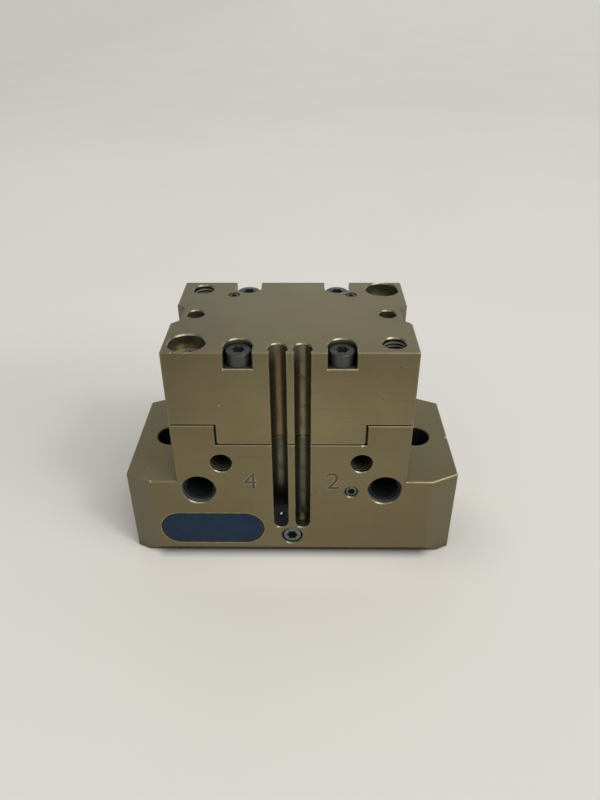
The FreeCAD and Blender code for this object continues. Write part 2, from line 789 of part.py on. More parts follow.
clamp_screws = turned_set(
    "clamp_screws",
    cap_screw("thread_three - thread_play", f"{recess_floor} - clamp_low", "cap_three", "cap_three_high"),
    "key_middle", "cap_three_high",
    [((x_text, y_text, recess_floor), upright) for x_text, y_text in four("clamp_x", "clamp_y")])
piston_screw = turned_set(
    "piston_screw",
    cap_screw("rod_thread - thread_play", "piston_screw_long", "cap_four", "cap_four_high"),
    "key_large", "cap_four_high", [(("0", "0", "head_seat"), upright)])
top_port_plugs = turned_set(
    "top_port_plugs", set_screw("thread_three", "plug_deep - top_sink"), "key_small", "0",
    [((x_text, y_text, "block_top - top_sink"), upright) for x_text, y_text in both("plug_x", "plug_y")])
purge_plug = turned_set(
    "purge_plug", set_screw("thread_five", "purge_deep - plug_sink"), "key_middle", "0",
    [(("0", f"{front} + plug_sink", "purge_z"), to_front)])
side_plug = turned_set(
    "side_plug", set_screw("thread_three", "purge_deep - plug_sink"), "key_small", "0",
    [(("lube_x", f"{front} + plug_sink", "lube_z"), to_front)])
cover_screws = turned_set(
    "cover_screws", countersunk_screw("cover_screw", "cover_screw_long"), "key_fine", "0",
    [((x_text, y_text, "foot"), to_floor) for x_text, y_text in cover_places])
sensor_stop_screw = turned_set(
    "sensor_stop_screw", set_screw("stop_thread", "stop_screw_long"), "key_tiny", "0",
    [(("-slot_x", f"{front} + stop_back + seat_play", "stop_screw_z"), to_front)])

# Sensor stop: a short insert with the slot's own section, at the closed end of the left slot.
sensor_stop = new_body("sensor_stop")
stop_axis = f"{front} + slot_axis"
stop_face = f"{front} + stop_back"
stop_high = f"stop_top - ({slot_turn})"
stop_bore = new_sketch(sensor_stop, "XY_Plane", slot_turn)
draw_circle(stop_bore, "-slot_x", stop_axis, "slot_round - stop_play")
grow(sensor_stop, stop_bore, stop_high)
stop_mouth = new_sketch(sensor_stop, "XY_Plane", slot_turn)
draw_block(stop_mouth, "-slot_x - slot_mouth + stop_play", "-slot_x + slot_mouth - stop_play",
           stop_face, stop_axis)
grow(sensor_stop, stop_mouth, stop_high)
stop_foot = new_sketch(sensor_stop, "XZ_Plane", stop_face)
draw_circle(stop_foot, "-slot_x", slot_turn, "slot_mouth - end_play - stop_play")
grow(sensor_stop, stop_foot, f"{slot_floor} - stop_back - stop_play", reverse=True)
stop_trim = new_sketch(sensor_stop, "XZ_Plane", stop_face)
draw_block(stop_trim, "-slot_x - 2 * slot_round", "-slot_x + 2 * slot_round",
           "slot_end - overrun", "stop_top + overrun")
cut(sensor_stop, stop_trim, "overrun", reverse=True)
drill(sensor_stop, "XZ_Plane", front, [("-slot_x", "stop_screw_z")], "stop_thread",
      "slot_axis + slot_round + overrun")

# Label plate in its seat, and the cover between the jaws.
label_plate = new_body("label_plate")
label = new_sketch(label_plate, "XZ_Plane", f"{front} + label_sink")
draw_oval(label, "-label_x", "label_z", "label_half - seat_play", "label_round - seat_play")
grow(label_plate, label, "label_thick")

centre_cover = new_body("centre_cover")
cover = new_sketch(centre_cover, "XY_Plane", "foot")
draw_block(cover, "-cover_half", "cover_half", "-cover_deep", "cover_deep")
grow(centre_cover, cover, "cover_thick")
drill(centre_cover, "XY_Plane", "foot", cover_places, "cover_thread", "cover_thick",
      rim="countersink", reverse=True)

# Magnets in the piston's front.
piston_magnets = new_body("piston_magnets")
magnets = new_sketch(piston_magnets, "XZ_Plane", "-bore_round + magnet_sink")
for magnet_centre in both("slot_x", "magnet_height"):
    draw_circle(magnets, *magnet_centre, "magnet_round")
grow(piston_magnets, magnets, "magnet_long", reverse=True)

# Closing springs: square wire on a helix, ground flat at both ends.
spring_low = "bore_floor - spring_sink"
spring_high = "piston_low + spring_sink - thread_play"
spring_single = new_body("spring_single")
wire = new_sketch(spring_single, "XZ_Plane")
draw_block(wire, "spring_mean - spring_wire / 2", "spring_mean + spring_wire / 2", "0", "spring_wire")
coil = spring_single.newObject("PartDesign::AdditiveHelix", "coil")
coil.Profile = wire
coil.ReferenceAxis = (wire, ["V_Axis"])
coil.Mode = "height-turns-growth"
coil.setExpression("Height", bind(f"{spring_high} - ({spring_low}) - spring_wire"))
coil.setExpression("Turns", bind("spring_turns"))
closing_springs = copies_of(
    spring_single, "closing_springs",
    [((x_text, y_text, spring_low), upright) for x_text, y_text in four("spring_x", "spring_y")])

doc.recompute()

pieces = [
    housing, spring_housing, seam_gasket, port_seals, clamp_screws, top_port_plugs, purge_plug,
    side_plug, label_plate, sensor_stop, sensor_stop_screw, rod_bush, rod_seal, centre_cover,
    cover_screws, closing_springs, piston, piston_seal, piston_magnets, wedge_hook, rod_o_ring,
    piston_screw, base_jaw_left, base_jaw_right,
]

for item in doc.Objects:
    if "Invalid" in item.State or "Error" in item.State:
        raise RuntimeError(f"{item.Name} did not build: {item.State}")
for piece in pieces:
    if piece.Shape.isNull() or not piece.Shape.isValid():
        raise RuntimeError(f"{piece.Label} has no valid shape")

os.makedirs("parts", exist_ok=True)
for piece in pieces:
    piece.Shape.exportStep(f"parts/{piece.Label}.step")
    box = piece.Shape.BoundBox
    print(f"{piece.Label}: {len(piece.Shape.Solids)} solids, {piece.Shape.Volume:.1f} mm3, "
          f"z {box.ZMin:.2f} to {box.ZMax:.2f}")
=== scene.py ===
import json
import math

import bmesh
import bpy
from mathutils import Euler, Matrix, Vector


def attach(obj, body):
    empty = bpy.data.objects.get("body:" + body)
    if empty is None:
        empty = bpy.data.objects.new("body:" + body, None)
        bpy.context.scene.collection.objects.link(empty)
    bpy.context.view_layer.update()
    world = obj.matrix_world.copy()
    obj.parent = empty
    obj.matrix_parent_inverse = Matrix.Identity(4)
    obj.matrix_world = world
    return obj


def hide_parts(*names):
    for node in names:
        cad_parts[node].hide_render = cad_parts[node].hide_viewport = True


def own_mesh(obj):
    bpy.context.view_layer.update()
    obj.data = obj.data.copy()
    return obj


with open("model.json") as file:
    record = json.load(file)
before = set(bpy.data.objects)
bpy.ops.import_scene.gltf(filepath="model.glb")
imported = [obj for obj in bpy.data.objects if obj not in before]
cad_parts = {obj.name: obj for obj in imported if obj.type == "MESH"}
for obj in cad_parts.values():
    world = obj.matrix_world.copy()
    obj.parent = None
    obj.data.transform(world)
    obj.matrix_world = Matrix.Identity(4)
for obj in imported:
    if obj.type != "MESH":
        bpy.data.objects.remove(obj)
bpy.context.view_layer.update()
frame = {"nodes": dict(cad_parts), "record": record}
nodes = frame["nodes"]
scene = bpy.context.scene
scene.view_settings.view_transform = "Standard"
mm = 0.001
print("frame loaded")


# Short forms for building node trees
def addNode(tree, kind, inputs=None, **settings):
    node = tree.nodes.new(kind)
    for key, value in settings.items():
        setattr(node, key, value)
    for key, value in (inputs or {}).items():
        socket = node.inputs[key]
        for part in value if isinstance(value, list) else [value]:
            if isinstance(part, bpy.types.NodeSocket):
                tree.links.new(part, socket)
            else:
                socket.default_value = part
    return node


def startMaterial(name, **values):
    material = bpy.data.materials.new(name)
    material.use_nodes = True
    tree = material.node_tree
    shader = tree.nodes["Principled BSDF"]
    for key, value in values.items():
        shader.inputs[key.replace("_", " ")].default_value = value
    coords = addNode(tree, "ShaderNodeTexCoord").outputs["Object"]
    return material, tree, shader, coords


def coat(tree, shader, colour, rough, normal):
    tree.links.new(colour, shader.inputs["Base Color"])
    tree.links.new(rough, shader.inputs["Roughness"])
    tree.links.new(normal, shader.inputs["Normal"])


def stretch(tree, coords, scale, spot=(0, 0, 0)):
    inputs = {"Vector": coords, "Scale": scale, "Location": spot}
    return addNode(tree, "ShaderNodeMapping", inputs).outputs[0]


def noise(tree, coords, scale, detail=2.0, rough=0.5):
    inputs = {"Vector": coords, "Scale": scale, "Detail": detail, "Roughness": rough}
    return addNode(tree, "ShaderNodeTexNoise", inputs).outputs["Fac"]


def brush(tree, coords, scale):
    return noise(tree, stretch(tree, coords, scale), 1.0, 3, 0.6)


def remap(tree, value, low, high, toLow, toHigh, kind="LINEAR"):
    inputs = {"Value": value, "From Min": low, "From Max": high, "To Min": toLow, "To Max": toHigh}
    return addNode(tree, "ShaderNodeMapRange", inputs, interpolation_type=kind).outputs["Result"]


def sway(tree, noisy, low, high):  # a noise hardly leaves the middle of its range
    return remap(tree, noisy, 0.3, 0.7, low, high)


def calc(tree, operation, a, b=0.0):
    return addNode(tree, "ShaderNodeMath", {0: a, 1: b}, operation=operation).outputs[0]


def times(tree, a, b):
    return calc(tree, "MULTIPLY", a, b)


def vector(tree, operation, a, b=(0, 0, 0)):
    node = addNode(tree, "ShaderNodeVectorMath", {0: a, 1: b}, operation=operation)
    return node.outputs["Value" if operation in ("LENGTH", "DISTANCE") else "Vector"]


def spread(tree, coords):
    return addNode(tree, "ShaderNodeSeparateXYZ", {0: coords}).outputs


def mix(tree, share, a, b):
    return addNode(tree, "ShaderNodeMix", {0: share, 6: a, 7: b}, data_type="RGBA").outputs[2]


def shade(tree, colour, value):
    return addNode(tree, "ShaderNodeHueSaturation", {"Color": colour, "Value": value}).outputs[0]


def shadeWhere(tree, colour, share, value):
    return shade(tree, colour, remap(tree, share, 0, 1, 1.0, value))


def bump(tree, height, strength, distance=0.04 * mm):
    inputs = {"Height": height, "Strength": strength, "Distance": distance}
    return addNode(tree, "ShaderNodeBump", inputs).outputs[0]


def nearby(tree, reach, inside=False):
    kind = {"samples": 8, "inside": inside, "only_local": inside}
    return addNode(tree, "ShaderNodeAmbientOcclusion", {"Distance": reach}, **kind).outputs["AO"]


# Finishes, each with its own grain, wear and grime, some with painted light and shade
def makeAnodised(name, tone):
    look = {
        "olive": (0.187, 0.158, 0.078, 1), "brown": (0.188, 0.146, 0.073, 1),
        "blotches": 48, "blotchEdge": (0.36, 0.64),
        "brushed": (70, 2600, 2600), "grain": 2400, "swing": 0.06, "rough": (0.36, 0.48), "wornRough": 0.80,
        "bump": 0.08, "bumpDeep": 0.05 * mm, "grainBump": 0.6,
        "flatten": (1.0, 0.0, 0.8), "near": 3 * mm, "wander": 7 * mm, "wanderCells": 60,
        "facet": (0.138, 0.122, 0.072, 1), "facetShare": 0.80, "facetTurn": (0.25, 0.40),
        "uprightTurn": (0.3, 0.7), "bevelTurn": (0.3, 0.6), "bevelEnd": (0.8, 0.95),
        "frontTurn": (-0.9, -0.5),  # shares of the normal
        "leftFrom": -32 * mm, "leftTo": -26 * mm, "notchFrom": -17 * mm, "notchTo": -12 * mm,
        "hole": (0.020, 0.021, 0.015, 1), "holeReach": 5.0 * mm, "holeEdge": (0.08, 0.58), "holeShare": 0.95,
        "grimeAndShade": (0.015, 0.014, 0.010, 1), "grimeAndShadeReach": 1.0 * mm, "grimeAndShadeEdge": (0.20, 0.80), "grimeAndShadeShare": 0.85,
        "foot": 0.3 * mm, "footTop": 2.7 * mm, "footShare": 0.35,
        "wornAndGlint": (0.68, 0.63, 0.50, 1), "wearReach": 0.36 * mm, "wearEdge": (0.50, 0.90), "flatWear": 0.35,
        "wearCells": 420, "wearPatch": (0.38, 0.62), "wearShare": (0.16, 0.62),
        "nickAndGlintEdge": 0.12 * mm, "nickAndGlintShare": 0.75,
        "specks": 260, "speckSize": 0.05, "speckShare": 0.45, "paleOver": 0.72, "darkUnder": 0.40,
        "nicksAndGlints": [(39.85, -0.7, 23.95, 0.50), (-33.6, -18.75, 23.95, 0.20), (-25.07, -18.75, 58.75, 0.22),
                  (-24.05, -18.75, 58.75, 0.16), (27.25, -18.75, 58.75, 0.18), (16.4, -18.75, 34.65, 0.26),
                  (27.5, -18.75, 23.95, 0.18), (-14.2, -18.75, 54.75, 0.22), (-8.1, -18.75, 54.75, 0.14),
                  (8.0, -18.75, 54.75, 0.20), (14.2, -18.75, 54.75, 0.20), (-3.55, -18.78, 9.42, 0.20),
                  (1.65, -18.78, 9.42, 0.22)],  # x, y, z and size in mm
    }
    material, tree, shader, coords = startMaterial(name, Metallic=0.72, IOR=1.6)
    parts = spread(tree, coords)
    blotch = remap(tree, noise(tree, coords, look["blotches"], 3), *look["blotchEdge"], 0, 1)
    streaks = brush(tree, coords, look["brushed"])
    grain = noise(tree, coords, look["grain"], 2, 0.6)
    colour = mix(tree, blotch, look["olive"], look["brown"])

    # painted sheen: paler round one spot of the port face, with an uneven border
    drift = tuple(-a * b for a, b in zip(tone["palest"], look["flatten"]))
    away = vector(tree, "LENGTH", stretch(tree, coords, look["flatten"], drift))
    wander = sway(tree, noise(tree, coords, look["wanderCells"], 2), -look["wander"], look["wander"])
    away = calc(tree, "ADD", away, wander)
    paler = remap(tree, away, look["near"], tone["far"], tone["middle"], tone["sides"])
    colour = shade(tree, colour, paler)

    # painted light and shade by how faces turn: bevels and side facets darker, the tops at the left of the
    # wings and the front faces of the side notches lighter, and upright faces darker towards the top
    normal = spread(tree, addNode(tree, "ShaderNodeTexCoord").outputs["Normal"])
    slope = calc(tree, "ABSOLUTE", normal["Z"])
    upright = remap(tree, slope, *look["uprightTurn"], 1, 0)
    bevelled = remap(tree, slope, *look["bevelTurn"], 0, 1)
    tilted = times(tree, bevelled, remap(tree, slope, *look["bevelEnd"], 1, 0))
    colour = shadeWhere(tree, colour, tilted, tone["bevel"])
    sideways = remap(tree, calc(tree, "ABSOLUTE", normal["X"]), *look["facetTurn"], 0, look["facetShare"])
    colour = mix(tree, times(tree, upright, sideways), colour, look["facet"])
    left = remap(tree, parts["X"], look["leftFrom"], look["leftTo"], 1, 0)
    leftTop = times(tree, left, remap(tree, upright, 0, 1, 1, 0))
    colour = shadeWhere(tree, colour, leftTop, tone["leftTop"])
    facing = remap(tree, normal["Y"], *look["frontTurn"], 1, 0)
    notch = times(tree, facing, remap(tree, parts["Y"], look["notchFrom"], look["notchTo"], 0, 1))
    colour = shadeWhere(tree, colour, notch, tone["notch"])
    rise = remap(tree, parts["Z"], tone["low"], tone["high"], tone["atLow"], tone["atHigh"])
    colour = shadeWhere(tree, colour, upright, rise)
    for fleck in (streaks, grain):
        colour = shade(tree, colour, sway(tree, fleck, 1 - look["swing"], 1 + look["swing"]))

    # painted shade in holes and along the foot, grime and painted shade in corners, bare metal on the edges
    # that stand out
    deep = remap(tree, nearby(tree, look["holeReach"]), *look["holeEdge"], look["holeShare"], 0.0)
    colour = mix(tree, deep, colour, look["hole"])
    corner = remap(tree, nearby(tree, look["grimeAndShadeReach"]), *look["grimeAndShadeEdge"], 1.0, 0.0)
    colour = mix(tree, times(tree, corner, look["grimeAndShadeShare"]), colour, look["grimeAndShade"])
    patches = remap(tree, noise(tree, coords, look["wearCells"], 3), *look["wearPatch"], *look["wearShare"])
    edges = remap(tree, nearby(tree, look["wearReach"], inside=True), *look["wearEdge"], 1.0, 0.0)
    rubbed = times(tree, edges, remap(tree, upright, 0, 1, look["flatWear"], 1.0))
    colour = mix(tree, times(tree, rubbed, patches), colour, look["wornAndGlint"])
    foot = remap(tree, parts["Z"], look["foot"], look["footTop"], look["footShare"], 0.0)
    colour = mix(tree, foot, colour, look["grimeAndShade"])

    # small dents at edges, some of them painted glints at corners, along the seam and at the slot ends, and
    # pale and dark specks all over
    ragged = sway(tree, grain, -look["nickAndGlintEdge"], look["nickAndGlintEdge"])
    for x, y, z, size in look["nicksAndGlints"]:
        reach = vector(tree, "DISTANCE", coords, (x * mm, y * mm, z * mm))
        dent = calc(tree, "LESS_THAN", calc(tree, "ADD", reach, ragged), size * mm)
        colour = mix(tree, times(tree, dent, look["nickAndGlintShare"]), colour, look["wornAndGlint"])
    cells = addNode(tree, "ShaderNodeTexVoronoi", {"Vector": coords, "Scale": look["specks"]}).outputs
    speck = calc(tree, "LESS_THAN", cells["Distance"], look["speckSize"])
    pick = addNode(tree, "ShaderNodeSeparateColor", {"Color": cells["Color"]}).outputs
    pale = times(tree, speck, calc(tree, "GREATER_THAN", pick["Red"], look["paleOver"]))
    dark = times(tree, speck, calc(tree, "LESS_THAN", pick["Red"], look["darkUnder"]))
    colour = mix(tree, times(tree, pale, look["speckShare"]), colour, look["wornAndGlint"])
    colour = mix(tree, times(tree, dark, look["speckShare"]), colour, look["grimeAndShade"])
    smoother = remap(tree, edges, 0, 1, 1.0, look["wornRough"])
    rough = times(tree, sway(tree, streaks, *look["rough"]), smoother)
    height = calc(tree, "ADD", streaks, times(tree, grain, look["grainBump"]))
    coat(tree, shader, colour, rough, bump(tree, height, look["bump"], look["bumpDeep"]))
    return material


def makeSlotWall():
    look = {
        "bronze": (0.215, 0.158, 0.078, 1), "olive": (0.230, 0.195, 0.108, 1),
        "low": (0.150, 0.137, 0.096, 1), "joint": 34.7 * mm, "gap": 0.16 * mm,
        "top": 58 * mm, "atJoint": 1.12, "atTop": 0.66,
        "side": (0.088, 0.082, 0.050, 1), "sideShare": 0.96,
        "x": 2.65 * mm, "middle": 0.15 * mm, "flat": 0.30 * mm, "rim": 1.60 * mm,
        "lit": (0.225, 0.220, 0.160, 1), "litFrom": 54.5 * mm, "litTo": 57.5 * mm, "litWall": 0.9 * mm,
        "litShare": 0.8, "darkening": (0.012, 0.012, 0.010, 1), "foot": 14 * mm, "unshaded": 25 * mm,
        "leftFoot": 0.92, "rightFoot": 0.35, "gapShare": 0.9,
        "stains": 380, "stainEdge": (0.58, 0.72), "stainShare": 0.35,
        "shine": (0.80, 0.76, 0.52, 1), "shineAt": (2.45 * mm, -15.5 * mm, 9.4 * mm), "shineSize": 1.1 * mm,
        "shineShare": 0.85,
        "drawn": (2600, 2600, 60), "swing": (0.90, 1.10), "rough": (0.26, 0.36), "bump": 0.04,
    }
    material, tree, shader, coords = startMaterial("slotWall", Metallic=0.75)
    parts = spread(tree, coords)
    leftSlot = calc(tree, "LESS_THAN", parts["X"], 0.0)
    centre = remap(tree, leftSlot, 0, 1, look["middle"] + look["x"], look["middle"] - look["x"])
    across = calc(tree, "SUBTRACT", parts["X"], centre)
    offset = calc(tree, "ABSOLUTE", across)
    streaks = brush(tree, coords, look["drawn"])
    stains = noise(tree, coords, look["stains"], 2, 0.4)

    # the block's stretch of the slots above the joint, darker towards the top as painted shade, and the
    # housing's darker stretch below it
    colour = mix(tree, leftSlot, look["olive"], look["bronze"])
    darker = remap(tree, parts["Z"], look["joint"], look["top"], look["atJoint"], look["atTop"])
    below = remap(tree, parts["Z"], look["joint"] - mm, look["joint"], 1, 0)
    colour = mix(tree, below, shade(tree, colour, darker), look["low"])
    colour = shade(tree, colour, sway(tree, streaks, *look["swing"]))
    colour = mix(tree, remap(tree, stains, *look["stainEdge"], 0, look["stainShare"]), colour, look["darkening"])

    # painted shade on the sides, and painted light on the left ones near the mouth
    opening = remap(tree, parts["Z"], look["litFrom"], look["litTo"], 0, look["litShare"])
    lit = times(tree, remap(tree, across, -look["litWall"], -look["flat"], 1, 0), opening)
    sides = remap(tree, offset, look["flat"], look["rim"], 0, remap(tree, lit, 0, 1, look["sideShare"], 0))
    colour = mix(tree, lit, mix(tree, sides, colour, look["side"]), look["lit"])

    # painted shade in the joint and towards the closed ends, and a painted highlight at the right one
    joint = calc(tree, "ABSOLUTE", calc(tree, "SUBTRACT", parts["Z"], look["joint"]))
    inGap = remap(tree, joint, look["gap"] / 2, look["gap"], look["gapShare"], 0.0)
    colour = mix(tree, inGap, colour, look["darkening"])
    most = remap(tree, leftSlot, 0, 1, look["rightFoot"], look["leftFoot"])
    foot = remap(tree, parts["Z"], look["foot"], look["unshaded"], most, 0.0)
    colour = mix(tree, foot, colour, look["darkening"])
    away = vector(tree, "DISTANCE", coords, look["shineAt"])
    shine = remap(tree, away, 0, look["shineSize"], look["shineShare"], 0.0)
    colour = mix(tree, shine, colour, look["shine"])
    coat(tree, shader, colour, sway(tree, stains, *look["rough"]), bump(tree, streaks, look["bump"]))
    return material


def makeMetal(name, colour, rough, scale, swing, darkening=(), metal=1.0):
    look = {
        "smudges": 190, "smudge": (0.9, 1.08), "roughSwing": (0.85, 1.2), "bump": 0.06,
        "darkening": (0.008, 0.008, 0.007, 1), "darkeningShare": 0.96,
    }
    material, tree, shader, coords = startMaterial(name, Metallic=metal)
    streaks = brush(tree, coords, scale)
    smudge = noise(tree, coords, look["smudges"], 3)
    base = shade(tree, (*colour, 1), sway(tree, streaks, 1 - swing, 1 + swing))
    base = shade(tree, base, sway(tree, smudge, *look["smudge"]))
    for reach, shut, clear in darkening:  # painted shade within this reach of other faces
        share = remap(tree, nearby(tree, reach * mm), shut, clear, look["darkeningShare"], 0.0)
        base = mix(tree, share, base, look["darkening"])
    rough = sway(tree, smudge, *(rough * share for share in look["roughSwing"]))
    coat(tree, shader, base, rough, bump(tree, streaks, look["bump"]))
    return material


def makeDull(name, colour, rough, scale=2200, swing=0.12, grainBump=0.05, gloss=0.20):
    look = {"smudges": 260, "roughSwing": 0.06}
    material, tree, shader, coords = startMaterial(name, Specular_IOR_Level=gloss)
    grain = noise(tree, coords, scale, 3)
    smudge = noise(tree, coords, look["smudges"], 3)
    base = shade(tree, (*colour, 1), sway(tree, smudge, 1 - swing, 1 + swing))
    rough = sway(tree, grain, rough - look["roughSwing"], rough + look["roughSwing"])
    coat(tree, shader, base, rough, bump(tree, grain, grainBump))
    return material


def shadeInside(reach):  # painted shade: clear at the mouth, black at the bottom
    return [(reach, 0.05, 0.65)]


# tones of the painted light and shade, for the housing and for the block
anodised = makeAnodised("anodised", {
    "palest": (5.0 * mm, 0, 44.0 * mm), "far": 45 * mm, "middle": 1.06, "sides": 0.85,
    "low": 29 * mm, "high": 40 * mm, "atLow": 1.0, "atHigh": 0.90,
    "bevel": 0.90, "leftTop": 1.18, "notch": 1.0,
})
anodisedBlock = makeAnodised("anodisedBlock", {
    "palest": (5.0 * mm, 0, 44.0 * mm), "far": 38 * mm, "middle": 1.13, "sides": 0.79,
    "low": 40 * mm, "high": 57 * mm, "atLow": 1.06, "atHigh": 0.84,
    "bevel": 0.74, "leftTop": 1.0, "notch": 1.45,
})
slotWall = makeSlotWall()
fine = (900, 900, 900)
drilled = (900, 900, 3000)
headShade = [(1.2, 0.05, 0.60)]  # painted shade: reach in mm, and how open a spot is where it is black and where clear
threadShade = [(0.45, 0.42, 0.72)] + shadeInside(5.0)
pinShade = [(3.0, 0.02, 0.40)]
blackOxide = makeMetal("blackOxide", (0.066, 0.066, 0.060), 0.42, fine, 0.12, headShade, 0.7)
plugSteel = makeMetal("plugSteel", (0.150, 0.166, 0.160), 0.36, fine, 0.10, shadeInside(0.5))
flushSteel = makeMetal("flushSteel", (0.072, 0.088, 0.076), 0.44, fine, 0.12, shadeInside(0.8))
glintSteel = makeMetal("glintSteel", (0.46, 0.46, 0.47), 0.10, fine, 0.08, shadeInside(0.6))
boreOlive = makeMetal("boreOlive", (0.170, 0.162, 0.120), 0.34, drilled, 0.12, threadShade)
boreSteel = makeMetal("boreSteel", (0.250, 0.262, 0.240), 0.40, (900, 3000, 900), 0.12, shadeInside(3.0), 0.8)
# painted light and shade in the bores: darker sleeve walls, lighter sleeve floors, darker pin holes
sleeveOlive = makeMetal("sleeveOlive", (0.150, 0.150, 0.108), 0.34, drilled, 0.12, shadeInside(1.5), 0.9)
sleeveFloor = makeMetal("sleeveFloor", (0.400, 0.350, 0.205), 0.30, fine, 0.12, shadeInside(0.6), 0.8)
pinOlive = makeMetal("pinOlive", (0.165, 0.152, 0.106), 0.34, drilled, 0.12, pinShade, 0.8)
# painted highlight on the hole rims and, with wear, on the recess sills; painted shade on the chamfers round
# the plugs
rimBright = makeMetal("rimBright", (0.205, 0.186, 0.126), 0.25, fine, 0.16, metal=0.95)
ringOlive = makeMetal("ringOlive", (0.130, 0.125, 0.085), 0.26, fine, 0.12, metal=0.9)
rubbedEdgeHighlight = makeMetal("rubbedEdgeHighlight", (0.22, 0.206, 0.150), 0.30, fine, 0.20, metal=0.9)
# the threads in the top holes lighter as painted light, those in the ports darker as painted shade
cutThread = makeMetal("cutThread", (0.78, 0.75, 0.62), 0.28, fine, 0.10, threadShade, 0.7)
portThread = makeMetal("portThread", (0.46, 0.43, 0.33), 0.28, fine, 0.10, threadShade, 0.8)
jawSteel = makeMetal("jawSteel", (0.47, 0.465, 0.45), 0.28, (3000, 55, 3000), 0.10)
brightSteel = makeMetal("brightSteel", (0.58, 0.575, 0.56), 0.24, fine, 0.07)
springSteel = makeMetal("springSteel", (0.36, 0.355, 0.345), 0.30, (700, 700, 700), 0.10)
bareAluminium = makeMetal("bareAluminium", (0.66, 0.66, 0.66), 0.34, drilled, 0.08)
bushBronze = makeMetal("bushBronze", (0.42, 0.27, 0.12), 0.34, (900, 900, 2500), 0.10)
sealRubber = makeDull("sealRubber", (0.018, 0.018, 0.019), 0.55, 1500, grainBump=0.10, gloss=0.5)
stopPlastic = makeDull("stopPlastic", (0.009, 0.009, 0.012), 0.55, 900, 0.45, 0.30, 0.08)
labelBlue = makeDull("labelBlue", (0.010, 0.022, 0.050), 0.42, gloss=0.12)
labelRim = makeDull("labelRim", (0.013, 0.017, 0.017), 0.42)
# painted shade in the engraved marks, in the joint, on the foot bevel and deep in the bores
markShade = makeDull("markShade", (0.098, 0.083, 0.050), 0.50)
seamShade = makeDull("seamShade", (0.012, 0.010, 0.007), 0.60, gloss=0.10)
footShade = makeDull("footShade", (0.050, 0.042, 0.025), 0.60, gloss=0.10)
deepShade = makeDull("deepShade", (0.010, 0.012, 0.013), 0.50)
print("finishes made")


# Meshes from the frame, from node trees and from letters
def newObject(name, data):
    made = bpy.data.objects.new(name, data)
    scene.collection.objects.link(made)
    return made


def settle(mesh, angle=20, turnOut=False):
    bm = bmesh.new()
    bm.from_mesh(mesh)
    bmesh.ops.remove_doubles(bm, verts=bm.verts, dist=1e-6)
    bmesh.ops.dissolve_degenerate(bm, edges=bm.edges, dist=1e-7)
    if turnOut:
        bmesh.ops.recalc_face_normals(bm, faces=bm.faces)
    bm.to_mesh(mesh)
    bm.free()
    if "custom_normal" in mesh.attributes:
        mesh.attributes.remove(mesh.attributes["custom_normal"])
    mesh.shade_smooth()
    mesh.set_sharp_from_angle(angle=math.radians(angle))
    return mesh


def meshOf(made):
    view = bpy.context.evaluated_depsgraph_get()
    return bpy.data.meshes.new_from_object(made.evaluated_get(view), depsgraph=view)


def finalMesh(made):
    mesh = meshOf(made)
    made.modifiers.clear()
    made.data = mesh


def place(made, body, node, slotName, *finishes):
    for i, finish in enumerate(finishes):
        if i < len(made.data.materials):
            made.data.materials[i] = finish
        else:
            made.data.materials.append(finish)
    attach(made, body)
    if node:
        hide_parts(node)


def copyNode(node, name):
    return newObject(name, settle(nodes[node].data.copy()))


def engrave(made, cutters):
    for cutter in cutters:
        step = made.modifiers.new("engrave", "BOOLEAN")
        step.object = cutter
        step.solver = "EXACT"
        finalMesh(made)
        bpy.data.objects.remove(cutter)
    settle(made.data)


def textCutter(body, tall, depth, spot, turn):
    curve = bpy.data.curves.new("mark", "FONT")
    curve.body = body
    curve.size = tall
    curve.extrude = depth
    curve.align_x = "CENTER"
    words = newObject("mark", curve)
    mesh = meshOf(words)
    bpy.data.objects.remove(words)
    low = min(v.co.y for v in mesh.vertices)
    high = max(v.co.y for v in mesh.vertices)
    grow = tall / (high - low)
    mesh.transform(Matrix.Diagonal((grow, grow, 1, 1)) @ Matrix.Translation((0, -(low + high) / 2, 0)))
    mesh.transform(Matrix.Translation(spot) @ Euler(turn).to_matrix().to_4x4())
    return newObject("markCutter", settle(mesh, turnOut=True))


def dress(made, node, mainFinish, zones):  # a later zone goes over an earlier one
    place(made, "housing", node, "anodised", mainFinish, *(finish for finish, isInside in zones))
    for i, (finish, isInside) in enumerate(zones, 1):
        for face in made.data.polygons:
            if isInside(face.center / mm, face.normal):
                face.material_index = i


# Node trees for what repeats: screws, thread turns and springs
def newTree(name, floats, whole=()):
    tree = bpy.data.node_groups.new(name, "GeometryNodeTree")
    face = tree.interface
    face.new_socket(name="Geometry", in_out="OUTPUT", socket_type="NodeSocketGeometry")
    face.new_socket(name="Geometry", in_out="INPUT", socket_type="NodeSocketGeometry")
    for item in floats:
        face.new_socket(name=item, in_out="INPUT", socket_type="NodeSocketFloat")
    for item in whole:
        face.new_socket(name=item, in_out="INPUT", socket_type="NodeSocketInt")
    face.new_socket(name="Rotation", in_out="INPUT", socket_type="NodeSocketVector")
    face.new_socket(name="Material", in_out="INPUT", socket_type="NodeSocketMaterial")
    return tree, tree.nodes.new("NodeGroupInput").outputs


def endTree(tree, given, shapes):
    joined = addNode(tree, "GeometryNodeJoinGeometry", {"Geometry": shapes})
    copies = addNode(tree, "GeometryNodeInstanceOnPoints", {
        "Points": given["Geometry"], "Instance": joined.outputs[0], "Rotation": given["Rotation"]})
    real = addNode(tree, "GeometryNodeRealizeInstances", {"Geometry": copies.outputs[0]})
    coated = addNode(tree, "GeometryNodeSetMaterial", {
        "Geometry": real.outputs[0], "Material": given["Material"]})
    addNode(tree, "NodeGroupOutput", {"Geometry": coated.outputs[0]})
    return tree


def lift(tree, shape, height):
    spot = addNode(tree, "ShaderNodeCombineXYZ", {"Z": height}).outputs[0]
    return addNode(tree, "GeometryNodeTransform", {"Geometry": shape, "Translation": spot}).outputs[0]


